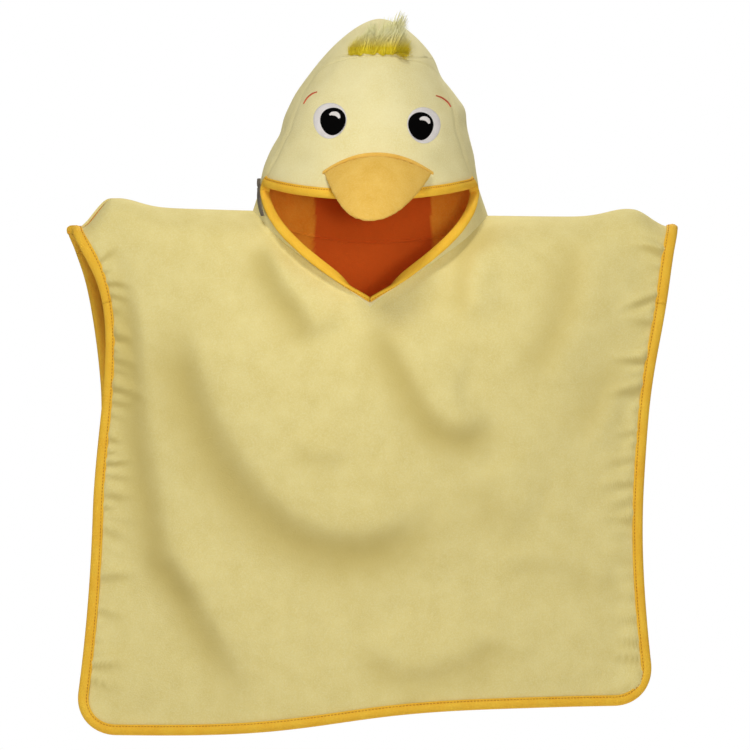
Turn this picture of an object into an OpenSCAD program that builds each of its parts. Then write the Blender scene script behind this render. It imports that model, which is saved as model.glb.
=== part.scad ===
// Hooded bath poncho with a duck's face, in the shape it takes on a standing child with
// both arms held out. Millimetres. +X is the wearer's left, -Y the front and +Z up.
// The origin is the middle of the neck opening, at the height of the shoulders.

/* [Towel] */
// Half the width of the towel at its narrowest, below the chest
half_width = 269; // [230:1:300]
// How much wider each side is where it lies over the hands
flare = 30; // [10:1:40]
// Drop from the shoulders to the hem, between its high and its low side
drop = 506; // [420:2:560]
// How far the hem hangs lower than that on the wearer's right, and higher on the left
hem_lean = 15; // [0:1:25]
// Radius of the lower corners
corner_r = 40; // [20:1:60]
// Height below the shoulders of the line where the front panel bends when it is lifted
front_bend = 122; // [112:1:150]
// Height below the shoulders of the line where the back panel bends when it is lifted
back_bend = 84; // [70:1:120]

/* [Wearer] */
// Radius of the shoulder and arm under the towel
arm_r = 25; // [15:1:30]
// How far the chest pushes the front out beyond the arm
chest = 72; // [50:1:90]
// How far the back pushes the back panel out beyond the arm
spine = 60; // [40:1:80]

/* [Cloth] */
// Thickness of the velour outer layer
shell_t = 2.4; // [1.5:0.1:3]
// Thickness of the lining
lining_t = 1.8; // [1:0.1:2.5]
// Thickness of the binding tape
tape_t = 1.2; // [0.8:0.1:1.6]
// Width of the binding tape along the edges of the towel
binding_w = 10; // [6:0.5:14]
// Width of the binding tape along the upper lip of the hood
lip_w = 12; // [8:0.5:16]
// Width of the binding tape along the V of the neck
vee_w = 8; // [5:0.5:11]

/* [Hood] */
// Half the width of the hood at the corners of the mouth
hood_w = 110; // [95:1:120]
// Depth of the hood in front of its middle
hood_front = 118; // [100:1:130]
// Depth of the hood behind its middle
hood_back = 92; // [80:1:100]
// Height of the peak above the shoulders
hood_top = 197; // [180:1:215]
// Height of the corners of the mouth
corner_z = 26; // [15:1:32]
// Height of the middle of the upper lip
lip_z = 8; // [0:1:14]
// Depth of the point of the V below the shoulders
vee_z = 86; // [70:1:90]
// Half the width of the neck seam
neck_w = 118; // [112:1:130]

/* [Face] */
// How far the whole face sits towards the wearer's left
face_x = 7; // [-8:1:10]
// How much higher the right eye sits than the left
face_tilt = 4; // [-4:1:6]
// Half the distance between the eyes
eye_x = 46; // [38:1:50]
// Height of the eyes
eye_z = 89; // [82:1:92]
// Half the width of the beak
beak_w = 53; // [44:1:56]
// Length of the beak from its root to its tip
beak_l = 82; // [60:1:95]
// Angle of the beak below the horizontal
beak_droop = 48; // [30:1:55]
// Thickness of the stuffing in the middle of the beak
beak_t = 14; // [8:1:20]

/* [Hidden] */

yellow = "#ded18b";
orange = "#eebe3b";
deep_orange = "#c9781a";

gap = 0.3;              // left between layers of one body
body_gap = 1.5;         // left between pieces of two bodies
inner = shell_t + gap;  // depth of the lining's outer face
layers = shell_t + gap + lining_t;
arm_arc = arm_r * PI / 2;
hem_turn = 110;         // width over which the hem changes height
mouth_a = 77;           // azimuth of the corners of the mouth, from straight ahead
face_top = 156;         // height of the seam under the tuft
tuft_a = 38;            // azimuth of the ends of that seam
hood_spring = 23;       // height above which the hood closes towards its peak

// ---- Broad folds of the front, as amplitude, width and the points that the fold runs through
front_folds = [
    [7, 30, [[-232, -40], [-222, -150], [-190, -270], [-145, -370], [-90, -480]]],
    [8, 46, [[-150, -130], [-115, -235], [-60, -290], [0, -300], [48, -262]]],
    [6, 30, [[30, -150], [62, -205], [84, -232], [110, -220]]],
    [5, 40, [[20, -415], [52, -440], [95, -430], [150, -380]]],
    [5, 34, [[225, -70], [228, -180], [200, -260]]]];
back_folds = [
    [6, 44, [[-210, -60], [-190, -200], [-150, -340], [-120, -480]]],
    [6, 44, [[205, -70], [180, -210], [160, -350], [150, -480]]],
    [5, 50, [[-70, -60], [-40, -160], [0, -190], [45, -160], [75, -60]]]];

// ---- Small maths
function smooth(t) = let(c = max(0, min(1, t))) c * c * (3 - 2 * c);
function tanh(t) = (exp(2 * t) - 1) / (exp(2 * t) + 1);
function unit(v) = v / norm(v);
function mix(a, b, t) = a * (1 - t) + b * t;
function to_segment(p, a, b) =
    let(d = b - a, t = max(0, min(1, ((p - a) * d) / (d * d)))) norm(p - a - d * t);
function to_path(p, path) = min([for (i = [1:len(path) - 1]) to_segment(p, path[i - 1], path[i])]);
function fold_height(p, folds) =
    [for (f = folds) f[0] * exp(-pow(to_path(p, f[2]) / f[1], 2) * 2)] * [for (f = folds) 1];

// ---- The towel's outer face, by x along the shoulders and q down over the arm. s is -1 in front.
function crest(x) = let(a = abs(x)) 8.5 * exp(-pow((a - 256) / 28, 2))
    - (17 - 7 * sign(x)) * smooth((a - 262) / 34) - 0.03 * x;
function crest_share(w) = 1 - smooth(w / 110);
function fall(q) = let(t = max(0, min(90, q / arm_r * 180 / PI))) arm_r * (1 - cos(t))
    + max(0, q - arm_arc);
function edge(w) = half_width + (w < 250 ? flare * pow((250 - w) / 235, 2.4)
    : 11 * pow((w - 250) / 200, 2));
// the right edge of the back hangs a little further out than the front's, so its lining shows
function sway(x, w, s) = (s > 0 && x < 0 ? -1 : 13) * exp(-pow((w - 95) / 85, 2));
function across(x) = pow(max(0, cos(90 * x / 315)), 1.2);
function bulge(x, w, s) = s < 0
    ? chest * across(x) * (1 - exp(-w / 35)) * (1 + 0.12 * w / 500)
    : spine * across(x) * (1 - exp(-w / 22)) * (1 + 0.1 * w / 500);
function towel(x, q, s) =
    let(w = fall(q), t = min(90, q / arm_r * 180 / PI),
        near = [x, -w], f = smooth((w - 95) / 60) * smooth((edge(w) - abs(x)) / 50),
        h = fold_height(near, s < 0 ? front_folds : back_folds) * f)
    [x + sway(x, w, s) * pow(x / 270, 2), s * (arm_r * sin(t) + bulge(x, w, s) + h),
        crest(x) * crest_share(w) - w];
function hem(x) = drop - hem_lean * tanh((x + 40) / hem_turn);
// q for a given fall below the shoulders
function q_at(w) = w < arm_r ? arm_r * acos(1 - w / arm_r) * PI / 180 : arm_arc + w - arm_r;

// ---- The neck seam, by azimuth: 0 is straight ahead, 180 straight behind
neck_front_q = q_at(vee_z + 9);
neck_back_q = q_at(22);
function neck_seam(a) = let(s = a > 180 ? 360 - a : abs(a), t = s < 90 ? s / 90 : (180 - s) / 90)
    s < 90 ? [neck_w * sin(a), neck_front_q * (1 - pow(t, 0.85)), -1]
        : [neck_w * sin(a), neck_back_q * (1 - t * t), 1];
function neck_pt(a) = let(n = neck_seam(a)) towel(n[0], n[1], n[2]);

// ---- The hood's outer face, by azimuth and height
function hood_half(z) = z < hood_spring ? hood_w + (hood_spring - z) * 0.25
    : hood_w * pow(max(0, 1 - pow((z - hood_spring) / (hood_top - hood_spring), 1.55)), 0.6);
function hood_ahead(z) = z < 7 ? hood_front - (7 - z) * 0.32
    : hood_front * pow(max(0, 1 - pow((z - 7) / (hood_top - 7), 2.4)), 0.62);
function hood_behind(z) = z < 28 ? hood_back - 30 * pow((28 - z) / 50, 1.3)
    : hood_back * pow(max(0, 1 - pow((z - 28) / (hood_top - 28), 2.6)), 0.6);
function lean(z) = 10 * smooth((z - 40) / 150);
function hood_pt(a, z) =
    [hood_half(z) * sin(a) + lean(z), -(cos(a) > 0 ? hood_ahead(z) : hood_behind(z)) * cos(a), z];
function lip_height(a) = lip_z + (corner_z - lip_z) * pow(abs(a) / mouth_a, 1.5);
function vee_height(a) = -vee_z + (corner_z + vee_z) * abs(a) / mouth_a;
// azimuth of the seam between the face and the side, from the corner of the mouth up to the tuft
function face_seam(v) = lookup(v, [[0, mouth_a], [0.1, 70], [0.25, 64], [0.45, 60], [0.65, 63],
    [0.8, 67], [0.9, 66], [0.965, 54], [1, tuft_a]]);
function face_pt(u, v) = let(a = u * face_seam(v))
    hood_pt(a, mix(lip_height(mouth_a * u), face_top - 4 * u * u, v));
// rows of cloth beside that seam, closer together where it turns in under the tuft
seam_rows = [0, 0.085, 0.25, 0.44, 0.6, 0.74, 0.84, 0.91, 0.965, 1];
function seam_v(v) = lookup(v * 9, [for (i = [0:9]) [i, seam_rows[i]]]);
function side_start(z) = z < corner_z ? mouth_a
    : z < face_top - 4 ? face_seam((z - corner_z) / (face_top - 4 - corner_z))
    : z < face_top ? tuft_a * sqrt((face_top - z) / 4) : 0;
// a point of the face by x and height
function face_at(x, z) = hood_pt(asin((x - lean(z)) / hood_half(z)), z);
// the wall of the hood between the neck seam and a curve above it
function wall_pt(a, z, t) = mix(neck_pt(a), hood_pt(a, z), t);

// ---- Sheets of cloth: p(u, v) is the outer face for u and v from 0 to 1, and the sheet
// fills the space from depth a down to depth b behind it
function clip(t) = max(0, min(1, t));
function normal(p, u, v) = let(e = 0.004)
    unit(cross(p(clip(u + e), v) - p(clip(u - e), v), p(u, clip(v + e)) - p(u, clip(v - e))));
function layer(p, nu, nv, depth) =
    [for (j = [0:nv]) for (i = [0:nu]) p(i / nu, j / nv) - normal(p, i / nu, j / nv) * depth];
function rim(nu, nv) = concat([for (i = [0:nu]) i], [for (j = [1:nv]) j * (nu + 1) + nu],
    [for (i = [nu - 1:-1:0]) nv * (nu + 1) + i], [for (j = [nv - 1:-1:1]) j * (nu + 1)]);

module slab(top, base, nu, nv) {
    n = len(top);
    r = rim(nu, nv);
    polyhedron(points = concat(top, base), faces = concat(
        [for (j = [0:nv - 1]) for (i = [0:nu - 1]) let(k = j * (nu + 1) + i)
            each [[k, k + nu + 1, k + nu + 2], [k, k + nu + 2, k + 1]]],
        [for (j = [0:nv - 1]) for (i = [0:nu - 1]) let(k = n + j * (nu + 1) + i)
            each [[k, k + nu + 2, k + nu + 1], [k, k + 1, k + nu + 2]]],
        [for (i = [0:len(r) - 1]) let(a = r[i], b = r[(i + 1) % len(r)])
            each [[a, b, b + n], [a, b + n, a + n]]]));
}

module cloth(p, nu, nv, a, b) {
    slab(layer(p, nu, nv, a), layer(p, nu, nv, b), nu, nv);
}

// Tape folded round an edge. A frame holds the edge point and its outward normal, then the
// point of the cloth under the tape's inner edge and its normal
module folded_tape(frames) {
    near = 0.7;
    far = near + tape_t;
    under = layers + near;
    section = function(f) let(t = unit(f[2] - f[0]))
        [f[2] + f[3] * far, f[0] - t * far + f[1] * far, f[0] - t * far - f[1] * (under + tape_t),
        f[2] - f[3] * (under + tape_t), f[2] - f[3] * under, f[0] - t * near - f[1] * under,
        f[0] - t * near + f[1] * near, f[2] + f[3] * near];
    m = 8;
    last = (len(frames) - 1) * m;
    cap = [[0, 1, 6], [0, 6, 7], [1, 2, 5], [1, 5, 6], [2, 3, 4], [2, 4, 5]];
    polyhedron(points = [for (f = frames) each section(f)],
        faces = concat([for (c = cap) [c[2], c[1], c[0]]],
        [for (c = cap) [last + c[0], last + c[1], last + c[2]]],
        [for (i = [0:len(frames) - 2]) for (k = [0:m - 1])
            let(a = i * m + k, b = i * m + (k + 1) % m)
            each [[a, b, b + m], [a, b + m, a + m]]]));
}
function backwards(list) = [for (i = [len(list) - 1:-1:0]) list[i]];

// ---- Towel
neck_clear = 1.5; // from the seam to the first row of cloth
ridge_gap = 0.6;  // from the top of the shoulder to the first row

// The yoke runs from the neck seam out to the ends of the shoulders and down to the bend line
function yoke_outer(s, a) = let(t = (abs(a) - 90) / 90, side = a < 0 ? -1 : 1,
    w = s < 0 ? front_bend - body_gap : back_bend - body_gap,
    e = edge(w), k = abs(a) / 90, q = q_at(w))
    k < 5 / 9 ? [side * e * k * 9 / 5, q] : let(qs = q * pow((1 - k) * 9 / 4, 1.4))
        [side * edge(fall(qs)), qs];
yoke_rows = [0, 0.28, 0.55, 0.76, 0.88, 0.945, 1];
function yoke_pt(s, u, v) = let(a = 180 * u - 90, n = neck_seam(s < 0 ? a : 180 - a),
    i = [n[0], n[1]], o = yoke_outer(s, a), d = unit(o - i), c = mix(i + d * neck_clear, o, lookup(v * 6, [for (j = [0:6]) [j, yoke_rows[j]]])))
    towel(c[0], c[1] + ridge_gap, s);

module yoke(s, a, b) {
    // the front's grid runs so that its normal faces outwards; the back is turned round
    if (s < 0) cloth(function(u, v) yoke_pt(s, 1 - u, v), 36, 6, a, b);
    else cloth(function(u, v) yoke_pt(s, u, v), 36, 6, a, b);
}

// A panel hangs from its bend line to the hem, with rounded lower corners
function panel_half(w, x, h) = let(r = corner_r, c = max(0, w - h + r))
    edge(w) - (c > 0 ? r - sqrt(max(0, r * r - c * c)) : 0);
function panel_pt(s, bend, u, v) =
    let(side = 2 * u - 1, top = bend + body_gap, h = hem(side * half_width),
        w = v < 0.8125 ? mix(top, h - corner_r, v / 0.8125)
            : h - corner_r + corner_r * sin(90 * (v - 0.8125) / 0.1875))
    towel(side * panel_half(w, side, h), q_at(w), s);

module panel(s, bend, a, b) {
    if (s < 0) cloth(function(u, v) panel_pt(s, bend, 1 - u, v), 22, 16, a, b);
    else cloth(function(u, v) panel_pt(s, bend, u, v), 22, 16, a, b);
}

// Frames along a panel's edge: down one side, round the hem and up the other side
function towel_out(x, q, s) = let(p = towel(x, q, s), e = 0.5)
    -s * unit(cross(towel(x, q + e, s) - p, towel(x + e, q, s) - p));
function edge_frame(s, x, q, dx, dq) = let(xi = x + dx * binding_w, qi = q + dq * binding_w)
    [towel(x, q, s), towel_out(x, q, s), towel(xi, qi, s), towel_out(xi, qi, s)];
function panel_edge(s, bend) = let(top = bend + body_gap, r = corner_r)
    concat([for (i = [0:13]) let(h = hem(-half_width), w = mix(top, h - r, i / 13))
            edge_frame(s, -edge(w), q_at(w), 1, 0)],
        [for (i = [1:6]) let(h = hem(-half_width), a = 15 * i, w = h - r + r * sin(a))
            edge_frame(s, -edge(w) + r * (1 - cos(a)), q_at(w), cos(a), -sin(a))],
        [for (i = [1:21]) let(side = i / 11 - 1, h = hem(side * half_width))
            edge_frame(s, side * (edge(h) - r), q_at(h), 0, -1)],
        [for (i = [6:-1:1]) let(h = hem(half_width), a = 15 * i, w = h - r + r * sin(a))
            edge_frame(s, edge(w) - r * (1 - cos(a)), q_at(w), -cos(a), -sin(a))],
        [for (i = [13:-1:0]) let(h = hem(half_width), w = mix(top, h - r, i / 13))
            edge_frame(s, edge(w), q_at(w), -1, 0)]);

module panel_binding(s, bend) {
    frames = panel_edge(s, bend);
    folded_tape(s > 0 ? frames : backwards(frames));
}

// The binding over the end of a shoulder, from the front's bend line to the back's
module shoulder_binding(side) {
    wf = front_bend - body_gap;
    wb = back_bend - body_gap;
    path = concat([for (i = [8:-1:0]) [-1, ridge_gap + q_at(wf) * pow(i / 8, 1.4)]],
        [for (i = [0:8]) [1, ridge_gap + q_at(wb) * pow(i / 8, 1.4)]]);
    frames = [for (c = path) edge_frame(c[0], side * edge(fall(c[1])), c[1], -side, 0)];
    folded_tape(side > 0 ? backwards(frames) : frames);
}

// ---- Hood
base_t = 0.03;    // how far up its wall the hood starts, clear of the neck seam

module hood_face(a, b) {
    cloth(function(u, v) face_pt(2 * u - 1, seam_v(v)), 22, 9, a, b);
}

// Side of the hood: from the neck seam up to the mouth corner, then up to the peak
side_rows = concat([for (i = [0:3]) [mix(base_t, 1, i / 3), corner_z]],
    [for (i = [1:9]) [1, mix(corner_z, face_top - 4, seam_rows[i])]],
    [for (f = [0.3, 0.6, 0.85, 0.97, 1]) [1, face_top - 4 + 4 * f]],
    [for (d = [38, 29, 21, 14, 8, 3.5, 1.2, 0.3]) [1, hood_top - d]]);
module hood_side(side, a, b) {
    rows = len(side_rows) - 1;
    cols = 10;
    p = function(u, v) let(i = min(rows - 1, floor(v * rows + 1e-6)), f = v * rows - i,
        r = mix(side_rows[i], side_rows[i + 1], f), keep = asin(min(0.9, 0.6 / hood_half(r[1]))),
        az = side * mix(side_start(r[1]) + keep, 180 - keep, u))
        wall_pt(az, r[1], r[0]);
    if (side > 0) cloth(function(u, v) p(u, v), cols, rows, a, b);
    else cloth(function(u, v) p(1 - u, v), cols, rows, a, b);
}

module throat(side, a, b) {
    p = function(u, v) let(az = side * mix(0.6, mouth_a - 0.6, u))
        wall_pt(az, vee_height(az), mix(v_foot(az), 1, v));
    if (side > 0) cloth(function(u, v) p(u, v), 14, 3, a, b);
    else cloth(function(u, v) p(1 - u, v), 14, 3, a, b);
}
// the throat is a low band at the point of the V, so it starts higher up its wall there
function v_foot(az) = mix(0.14, base_t, smooth(abs(az) / 40));

module lip_binding() {
    p = function(u, v) face_pt(2 * u - 1, v);
    frames = [for (i = [22:-1:0]) let(u = mix(0.03, 0.97, i / 22), v = lip_w / (face_top - lip_z))
        [p(u, 0), normal(p, u, 0), p(u, v), normal(p, u, v)]];
    folded_tape(frames);
}

module neck_binding(side) {
    p = function(u, v) let(a = side * mix(0.6, mouth_a - 0.6, u))
        wall_pt(a, vee_height(a), v);
    frames = [for (i = [0:14]) let(u = min(0.98, i / 14), drop_v = vee_w / norm(p(u, 1) - p(u, 0)),
        v = max(1 - drop_v, 0.2)) [p(u, 1), side * normal(p, u, 1), p(u, v), side * normal(p, u, v)]];
    folded_tape(side < 0 ? backwards(frames) : frames);
}

module neck_tape() {
    cloth(function(u, v) wall_pt(mix(100, 260, u), corner_z, mix(0.14, 0.5, v)), 20, 1,
        layers + 0.8, layers + 1.8);
}

// ---- Face
// a disc is a square bent round, so that it has no middle point
function disc(u, v) = let(x = 2 * u - 1, y = 2 * v - 1)
    [x * sqrt(1 - y * y / 2), y * sqrt(1 - x * x / 2)];
// low is how much narrower than the top the foot of the shape is
module patch(x, z, rx, rz, low, a, b, n) {
    cloth(function(u, v) let(d = disc(u, v), k = 1 + low * d[1])
        face_at(x + rx * d[0] * k, z + rz * d[1]), n, n, a, b);
}

function eye_height(side) = eye_z - face_tilt / 2 * side;
module eye_patch(side) {
    patch(face_x + side * (eye_x + 0.5), eye_height(side), 16.5, 19, 0.06, -1.2, -0.2, 6);
}
module pupil(side) {
    patch(face_x + side * (eye_x - 3), eye_height(side), 12.6, 14, 0.12, -2.2, -1.4, 6);
}
module glint(side) {
    patch(face_x + side * (eye_x - 3) + 2.5, eye_height(side) + 5.5, 5, 3.2, 0, -3, -2.4, 4);
}
module brow(side) {
    cloth(function(u, v) let(t = 2 * u - 1)
        face_at(face_x + side * 66 + 6.5 * t, 115 - 1.5 * side - 4.6 * side * t - 2 * t * t + 1.4 * v),
        6, 1, -1, -0.2);
}

module tuft_tape() {
    cloth(function(u, v) hood_pt(mix(-tuft_a, tuft_a, u), face_top + 1 + 5 * v), 10, 1, -1, -0.2);
}
module tuft_pile() {
    cloth(function(u, v) let(t = 2 * u - 1)
        hood_pt(tuft_a * t * (1 - 0.25 * v), face_top + 1.5 + 32 * v), 10, 5, -9, -1.3);
}

// A folded label sewn into the seam at the right corner of the mouth
module side_label() {
    cloth(function(u, v) hood_pt(-mouth_a - 8 - 1.5 * u, mix(36, 10, v))
        + [-9 * u - 1, 8 * u, 0], 2, 6, -1.2, 0);
}

// ---- Beak. u runs across it, v from its root to its rim
beak_dir = [0, -cos(beak_droop), -sin(beak_droop)];
beak_up = [0, -sin(beak_droop), cos(beak_droop)];
root_top = 54;
root_low = 41;
root_arch = 17;
function root_pt(u, z) = face_at(face_x + 1 + beak_w * u, z - root_arch * u * u) - [0, 2.6, 0];
function rim_pt(u) = root_pt(u, root_top)
    + beak_dir * beak_l * (1 - pow(abs(u), 1.8)) - beak_up * 4 * (1 - u * u);
function beak_skin(u, v, up) = let(a = 2 * u - 1, b = mix(root_pt(a, up > 0 ? root_top : root_low),
    rim_pt(a), v)) b + beak_up * up * beak_t / 2 * (1 - a * a) * sin(180 * pow(v, 0.8)) * 0.9;

module beak_top() {
    cloth(function(u, v) beak_skin(mix(0.02, 0.98, 1 - u), v * 0.98, 1), 16, 8, -lining_t - 0.1, -0.1);
}
module beak_under() {
    cloth(function(u, v) beak_skin(mix(0.02, 0.98, u), v * 0.98, -1), 16, 8, -lining_t - 0.1, -0.1);
}
module beak_stuffing() {
    nu = 12;
    nv = 6;
    at = function(i, j, up) beak_skin(mix(0.06, 0.94, 1 - i / nu), mix(0.04, 0.9, j / nv), up)
        - beak_up * up * 0.4;
    slab([for (j = [0:nv]) for (i = [0:nu]) at(i, j, 1)],
        [for (j = [0:nv]) for (i = [0:nu]) at(i, j, -1)], nu, nv);
}
module beak_piping() {
    cloth(function(u, v) let(a = 2 * u - 1)
        face_at(face_x + 1 + (beak_w + 1) * a, root_top + 4 - root_arch * a * a + 4.5 * v),
        20, 1, -1.6, -0.2);
}

color(yellow) yoke(-1, 0, shell_t);  // yoke_front_shell
color(deep_orange) yoke(-1, inner, layers);  // yoke_front_lining
color(yellow) yoke(1, 0, shell_t);  // yoke_back_shell
color(deep_orange) yoke(1, inner, layers);  // yoke_back_lining
color(orange) shoulder_binding(1);  // shoulder_binding_left
color(orange) shoulder_binding(-1);  // shoulder_binding_right
color(yellow) panel(-1, front_bend, 0, shell_t);  // front_shell
color(deep_orange) panel(-1, front_bend, inner, layers);  // front_lining
color(orange) panel_binding(-1, front_bend);  // front_binding
color(yellow) panel(1, back_bend, 0, shell_t);  // back_shell
color(deep_orange) panel(1, back_bend, inner, layers);  // back_lining
color(orange) panel_binding(1, back_bend);  // back_binding
color(yellow) hood_face(0, shell_t);
color(deep_orange) hood_face(inner, layers);  // hood_face_lining
color(yellow) hood_side(1, 0, shell_t);  // hood_side_left
color(yellow) hood_side(-1, 0, shell_t);  // hood_side_right
color(deep_orange) hood_side(1, inner, layers);  // hood_side_lining_left
color(deep_orange) hood_side(-1, inner, layers);  // hood_side_lining_right
color(yellow) throat(1, 0, shell_t);  // throat_left
color(yellow) throat(-1, 0, shell_t);  // throat_right
color(deep_orange) throat(1, inner, layers);  // throat_lining_left
color(deep_orange) throat(-1, inner, layers);  // throat_lining_right
color(orange) neck_tape();
color(orange) lip_binding();
color(orange) neck_binding(1);  // neck_binding_left
color(orange) neck_binding(-1);  // neck_binding_right
color(orange) beak_piping();
color("white") eye_patch(1);  // eye_patch_left
color("white") eye_patch(-1);  // eye_patch_right
color("#101010") pupil(1);  // pupil_left
color("#101010") pupil(-1);  // pupil_right
color("white") glint(1);  // glint_left
color("white") glint(-1);  // glint_right
color("#d0603c") brow(1);  // brow_left
color("#d0603c") brow(-1);  // brow_right
color("#c3aa22") tuft_tape();
color("#d5c23a") tuft_pile();
color("#3a3a48") side_label();
color(orange) beak_top();
color(orange) beak_under();
color("white") beak_stuffing();
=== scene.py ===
import math
import bpy
import numpy as np
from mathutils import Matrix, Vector


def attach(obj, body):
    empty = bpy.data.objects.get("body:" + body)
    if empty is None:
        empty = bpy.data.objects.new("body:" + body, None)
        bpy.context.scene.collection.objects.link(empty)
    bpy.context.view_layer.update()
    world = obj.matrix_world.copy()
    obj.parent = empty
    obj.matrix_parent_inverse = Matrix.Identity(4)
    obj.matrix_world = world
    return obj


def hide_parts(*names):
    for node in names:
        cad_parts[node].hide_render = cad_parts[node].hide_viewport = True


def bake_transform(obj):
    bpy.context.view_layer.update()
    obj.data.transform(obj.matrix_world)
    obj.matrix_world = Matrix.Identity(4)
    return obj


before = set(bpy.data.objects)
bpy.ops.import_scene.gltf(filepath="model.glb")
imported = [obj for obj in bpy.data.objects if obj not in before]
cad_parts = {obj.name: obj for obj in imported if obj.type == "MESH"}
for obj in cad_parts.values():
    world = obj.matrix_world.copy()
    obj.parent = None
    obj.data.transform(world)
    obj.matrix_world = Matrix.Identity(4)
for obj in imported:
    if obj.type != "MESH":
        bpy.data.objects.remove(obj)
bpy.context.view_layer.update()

print("frame loaded")

# The camera looks level at the chest of a small child who holds both arms out
cameraSetup = {"distance": 6.0, "x": 0.005, "z": -0.162, "width": 0.75, "cloth": 0.045}


# ---- small maths
def smooth(t):
    c = np.clip(t, 0, 1)
    return c * c * (3 - 2 * c)


def mix(a, b, t):
    return a * (1 - t) + b * t


def unit(v):
    return v / np.maximum(np.linalg.norm(v, axis=-1, keepdims=True), 1e-9)


def noise(x, y, size, seed):
    # smooth value noise between -1 and 1, with lumps about size across
    table = np.random.RandomState(seed).uniform(-1, 1, (64, 64))
    u, v = np.asarray(x, float) / size + 31.7, np.asarray(y, float) / size + 17.3
    i, j = np.floor(u).astype(int), np.floor(v).astype(int)
    fu, fv = smooth(u - i), smooth(v - j)
    at = lambda a, b: table[a % 64, b % 64]
    return mix(mix(at(i, j), at(i + 1, j), fu), mix(at(i, j + 1), at(i + 1, j + 1), fu), fv)


def shareAlong(path):
    # the share of a path's length that is run at each of its points
    steps = np.linalg.norm(np.diff(path, axis=0), axis=1)
    return np.concatenate([[0], np.cumsum(steps)]) / steps.sum()


def alongPath(path, f):
    run = shareAlong(path)
    return np.stack([np.interp(f, run, path[:, k]) for k in range(path.shape[1])], -1)


def nearPath(x, y, path):
    # distance to a path, its side (above 0 on the left of the way it runs) and the share of its length
    path = np.array(path, float)
    run = shareAlong(path)
    best, side, share = np.full(np.shape(x), 1e9), np.zeros(np.shape(x)), np.zeros(np.shape(x))
    for k in range(len(path) - 1):
        a, d = path[k], path[k + 1] - path[k]
        t = np.clip(((x - a[0]) * d[0] + (y - a[1]) * d[1]) / (d @ d), 0, 1)
        gone = np.hypot(x - a[0] - d[0] * t, y - a[1] - d[1] * t)
        cross = d[0] * (y - a[1]) - d[1] * (x - a[0])
        better = gone < best
        best = np.where(better, gone, best)
        side = np.where(better, np.sign(cross), side)
        share = np.where(better, mix(run[k], run[k + 1], t), share)
    return best, side, share


def smoothPath(points, count):
    # a rounder path through the given points
    p = np.array(points, float)
    if len(p) < 3:
        return p
    p = np.vstack([2 * p[0] - p[1], p, 2 * p[-1] - p[-2]])
    out = []
    for t in np.linspace(0, len(p) - 3 - 1e-6, count):
        i, f = int(t), t - int(t)
        a, b, c, d = p[i:i + 4]
        out.append(0.5 * (2 * b + (c - a) * f + (2 * a - 5 * b + 4 * c - d) * f ** 2
                          + (3 * b - a - 3 * c + d) * f ** 3))
    return np.array(out)


def softened(field, times):
    for _ in range(times):
        for axis in (0, 1):
            field = (np.roll(field, 1, axis) + 2 * field + np.roll(field, -1, axis)) / 4
    return field


def foldFields(folds, most):
    # each fold is gentle on the left of the way it runs and steep on its right, with painted shade at its steep foot
    x, w = np.meshgrid(np.arange(-330, 331, 3.0), np.arange(-6, 547, 3.0))
    lift, shade = 0 * x, 0 * x
    for height, gentle, steep, path in folds:
        gap, side, share = nearPath(x, -w, smoothPath(path, 24))
        width = np.where(side > 0, gentle, steep)
        taper = smooth(share / 0.2) * smooth((1 - share) / 0.2)
        lift += height * taper * np.exp(-(gap / width) ** 2)
        foot = np.exp(-((gap - 1.3 * steep) / np.where(gap < 1.3 * steep, 0.9 * steep, 1.5 * steep)) ** 2)
        shade += np.where(side > 0, 0, min(1, height / 8.5) * taper * foot)
    return softened(lift, 4), softened(np.clip(shade * most, 0, 1), 5)


def readField(field, x, w):
    u, v = np.clip((x + 330) / 3, 0, 219.9), np.clip((w + 6) / 3, 0, 183.9)
    i, j = u.astype(int), v.astype(int)
    return mix(mix(field[j, i], field[j, i + 1], u - i), mix(field[j + 1, i], field[j + 1, i + 1], u - i), v - j)


# ---- the towel's outer face, millimetres: x along the shoulders, q down over the arm, side -1 in front
towel = {
    "halfWidth": 269, "flare": 30, "drop": 506, "hemLean": 15, "cornerRadius": 40,
    "armRadius": 25, "chest": 72, "spine": 60, "neckWidth": 118, "neckDepth": 95, "nape": 22,
    "shell": 2.4, "liningTop": 2.7, "liningBase": 4.5,
    "rippleHeight": 2.2, "pileWaves": 0.4,
}
# the top of the cloth over the arms: its rise at the end of the arm, its drop beyond, and its slope to the neck
shoulder = {
    "rise": 8.5, "riseAt": 256, "riseWidth": 28, "drop": 17, "lessOnLeft": 7, "dropAt": 262, "dropWidth": 34,
    "slopeLeft": 0.012, "slopeRight": 0.03,
}
# how far the sides swing out or in, and where down the towel
sideSwing = {
    "top": 13, "topBehindRight": -1, "topAt": 95, "topWidth": 85, "right": -6.5, "rightFrom": 170, "rightOver": 130,
    "left": 5.5, "leftAt": 215, "leftWidth": 85,
}
# short creases beside the stitched edges: each range is drawn from in turn, and they are fainter in the quiet stretch
pucker = {
    "first": 24.0, "last": 470, "quiet": (300, 400), "length": (16, 40), "height": (1.1, 2.6), "slant": (-0.1, 0.5),
    "width": (3.6, 6.0), "spacing": (8, 17), "strength": 2.0,
}
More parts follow.
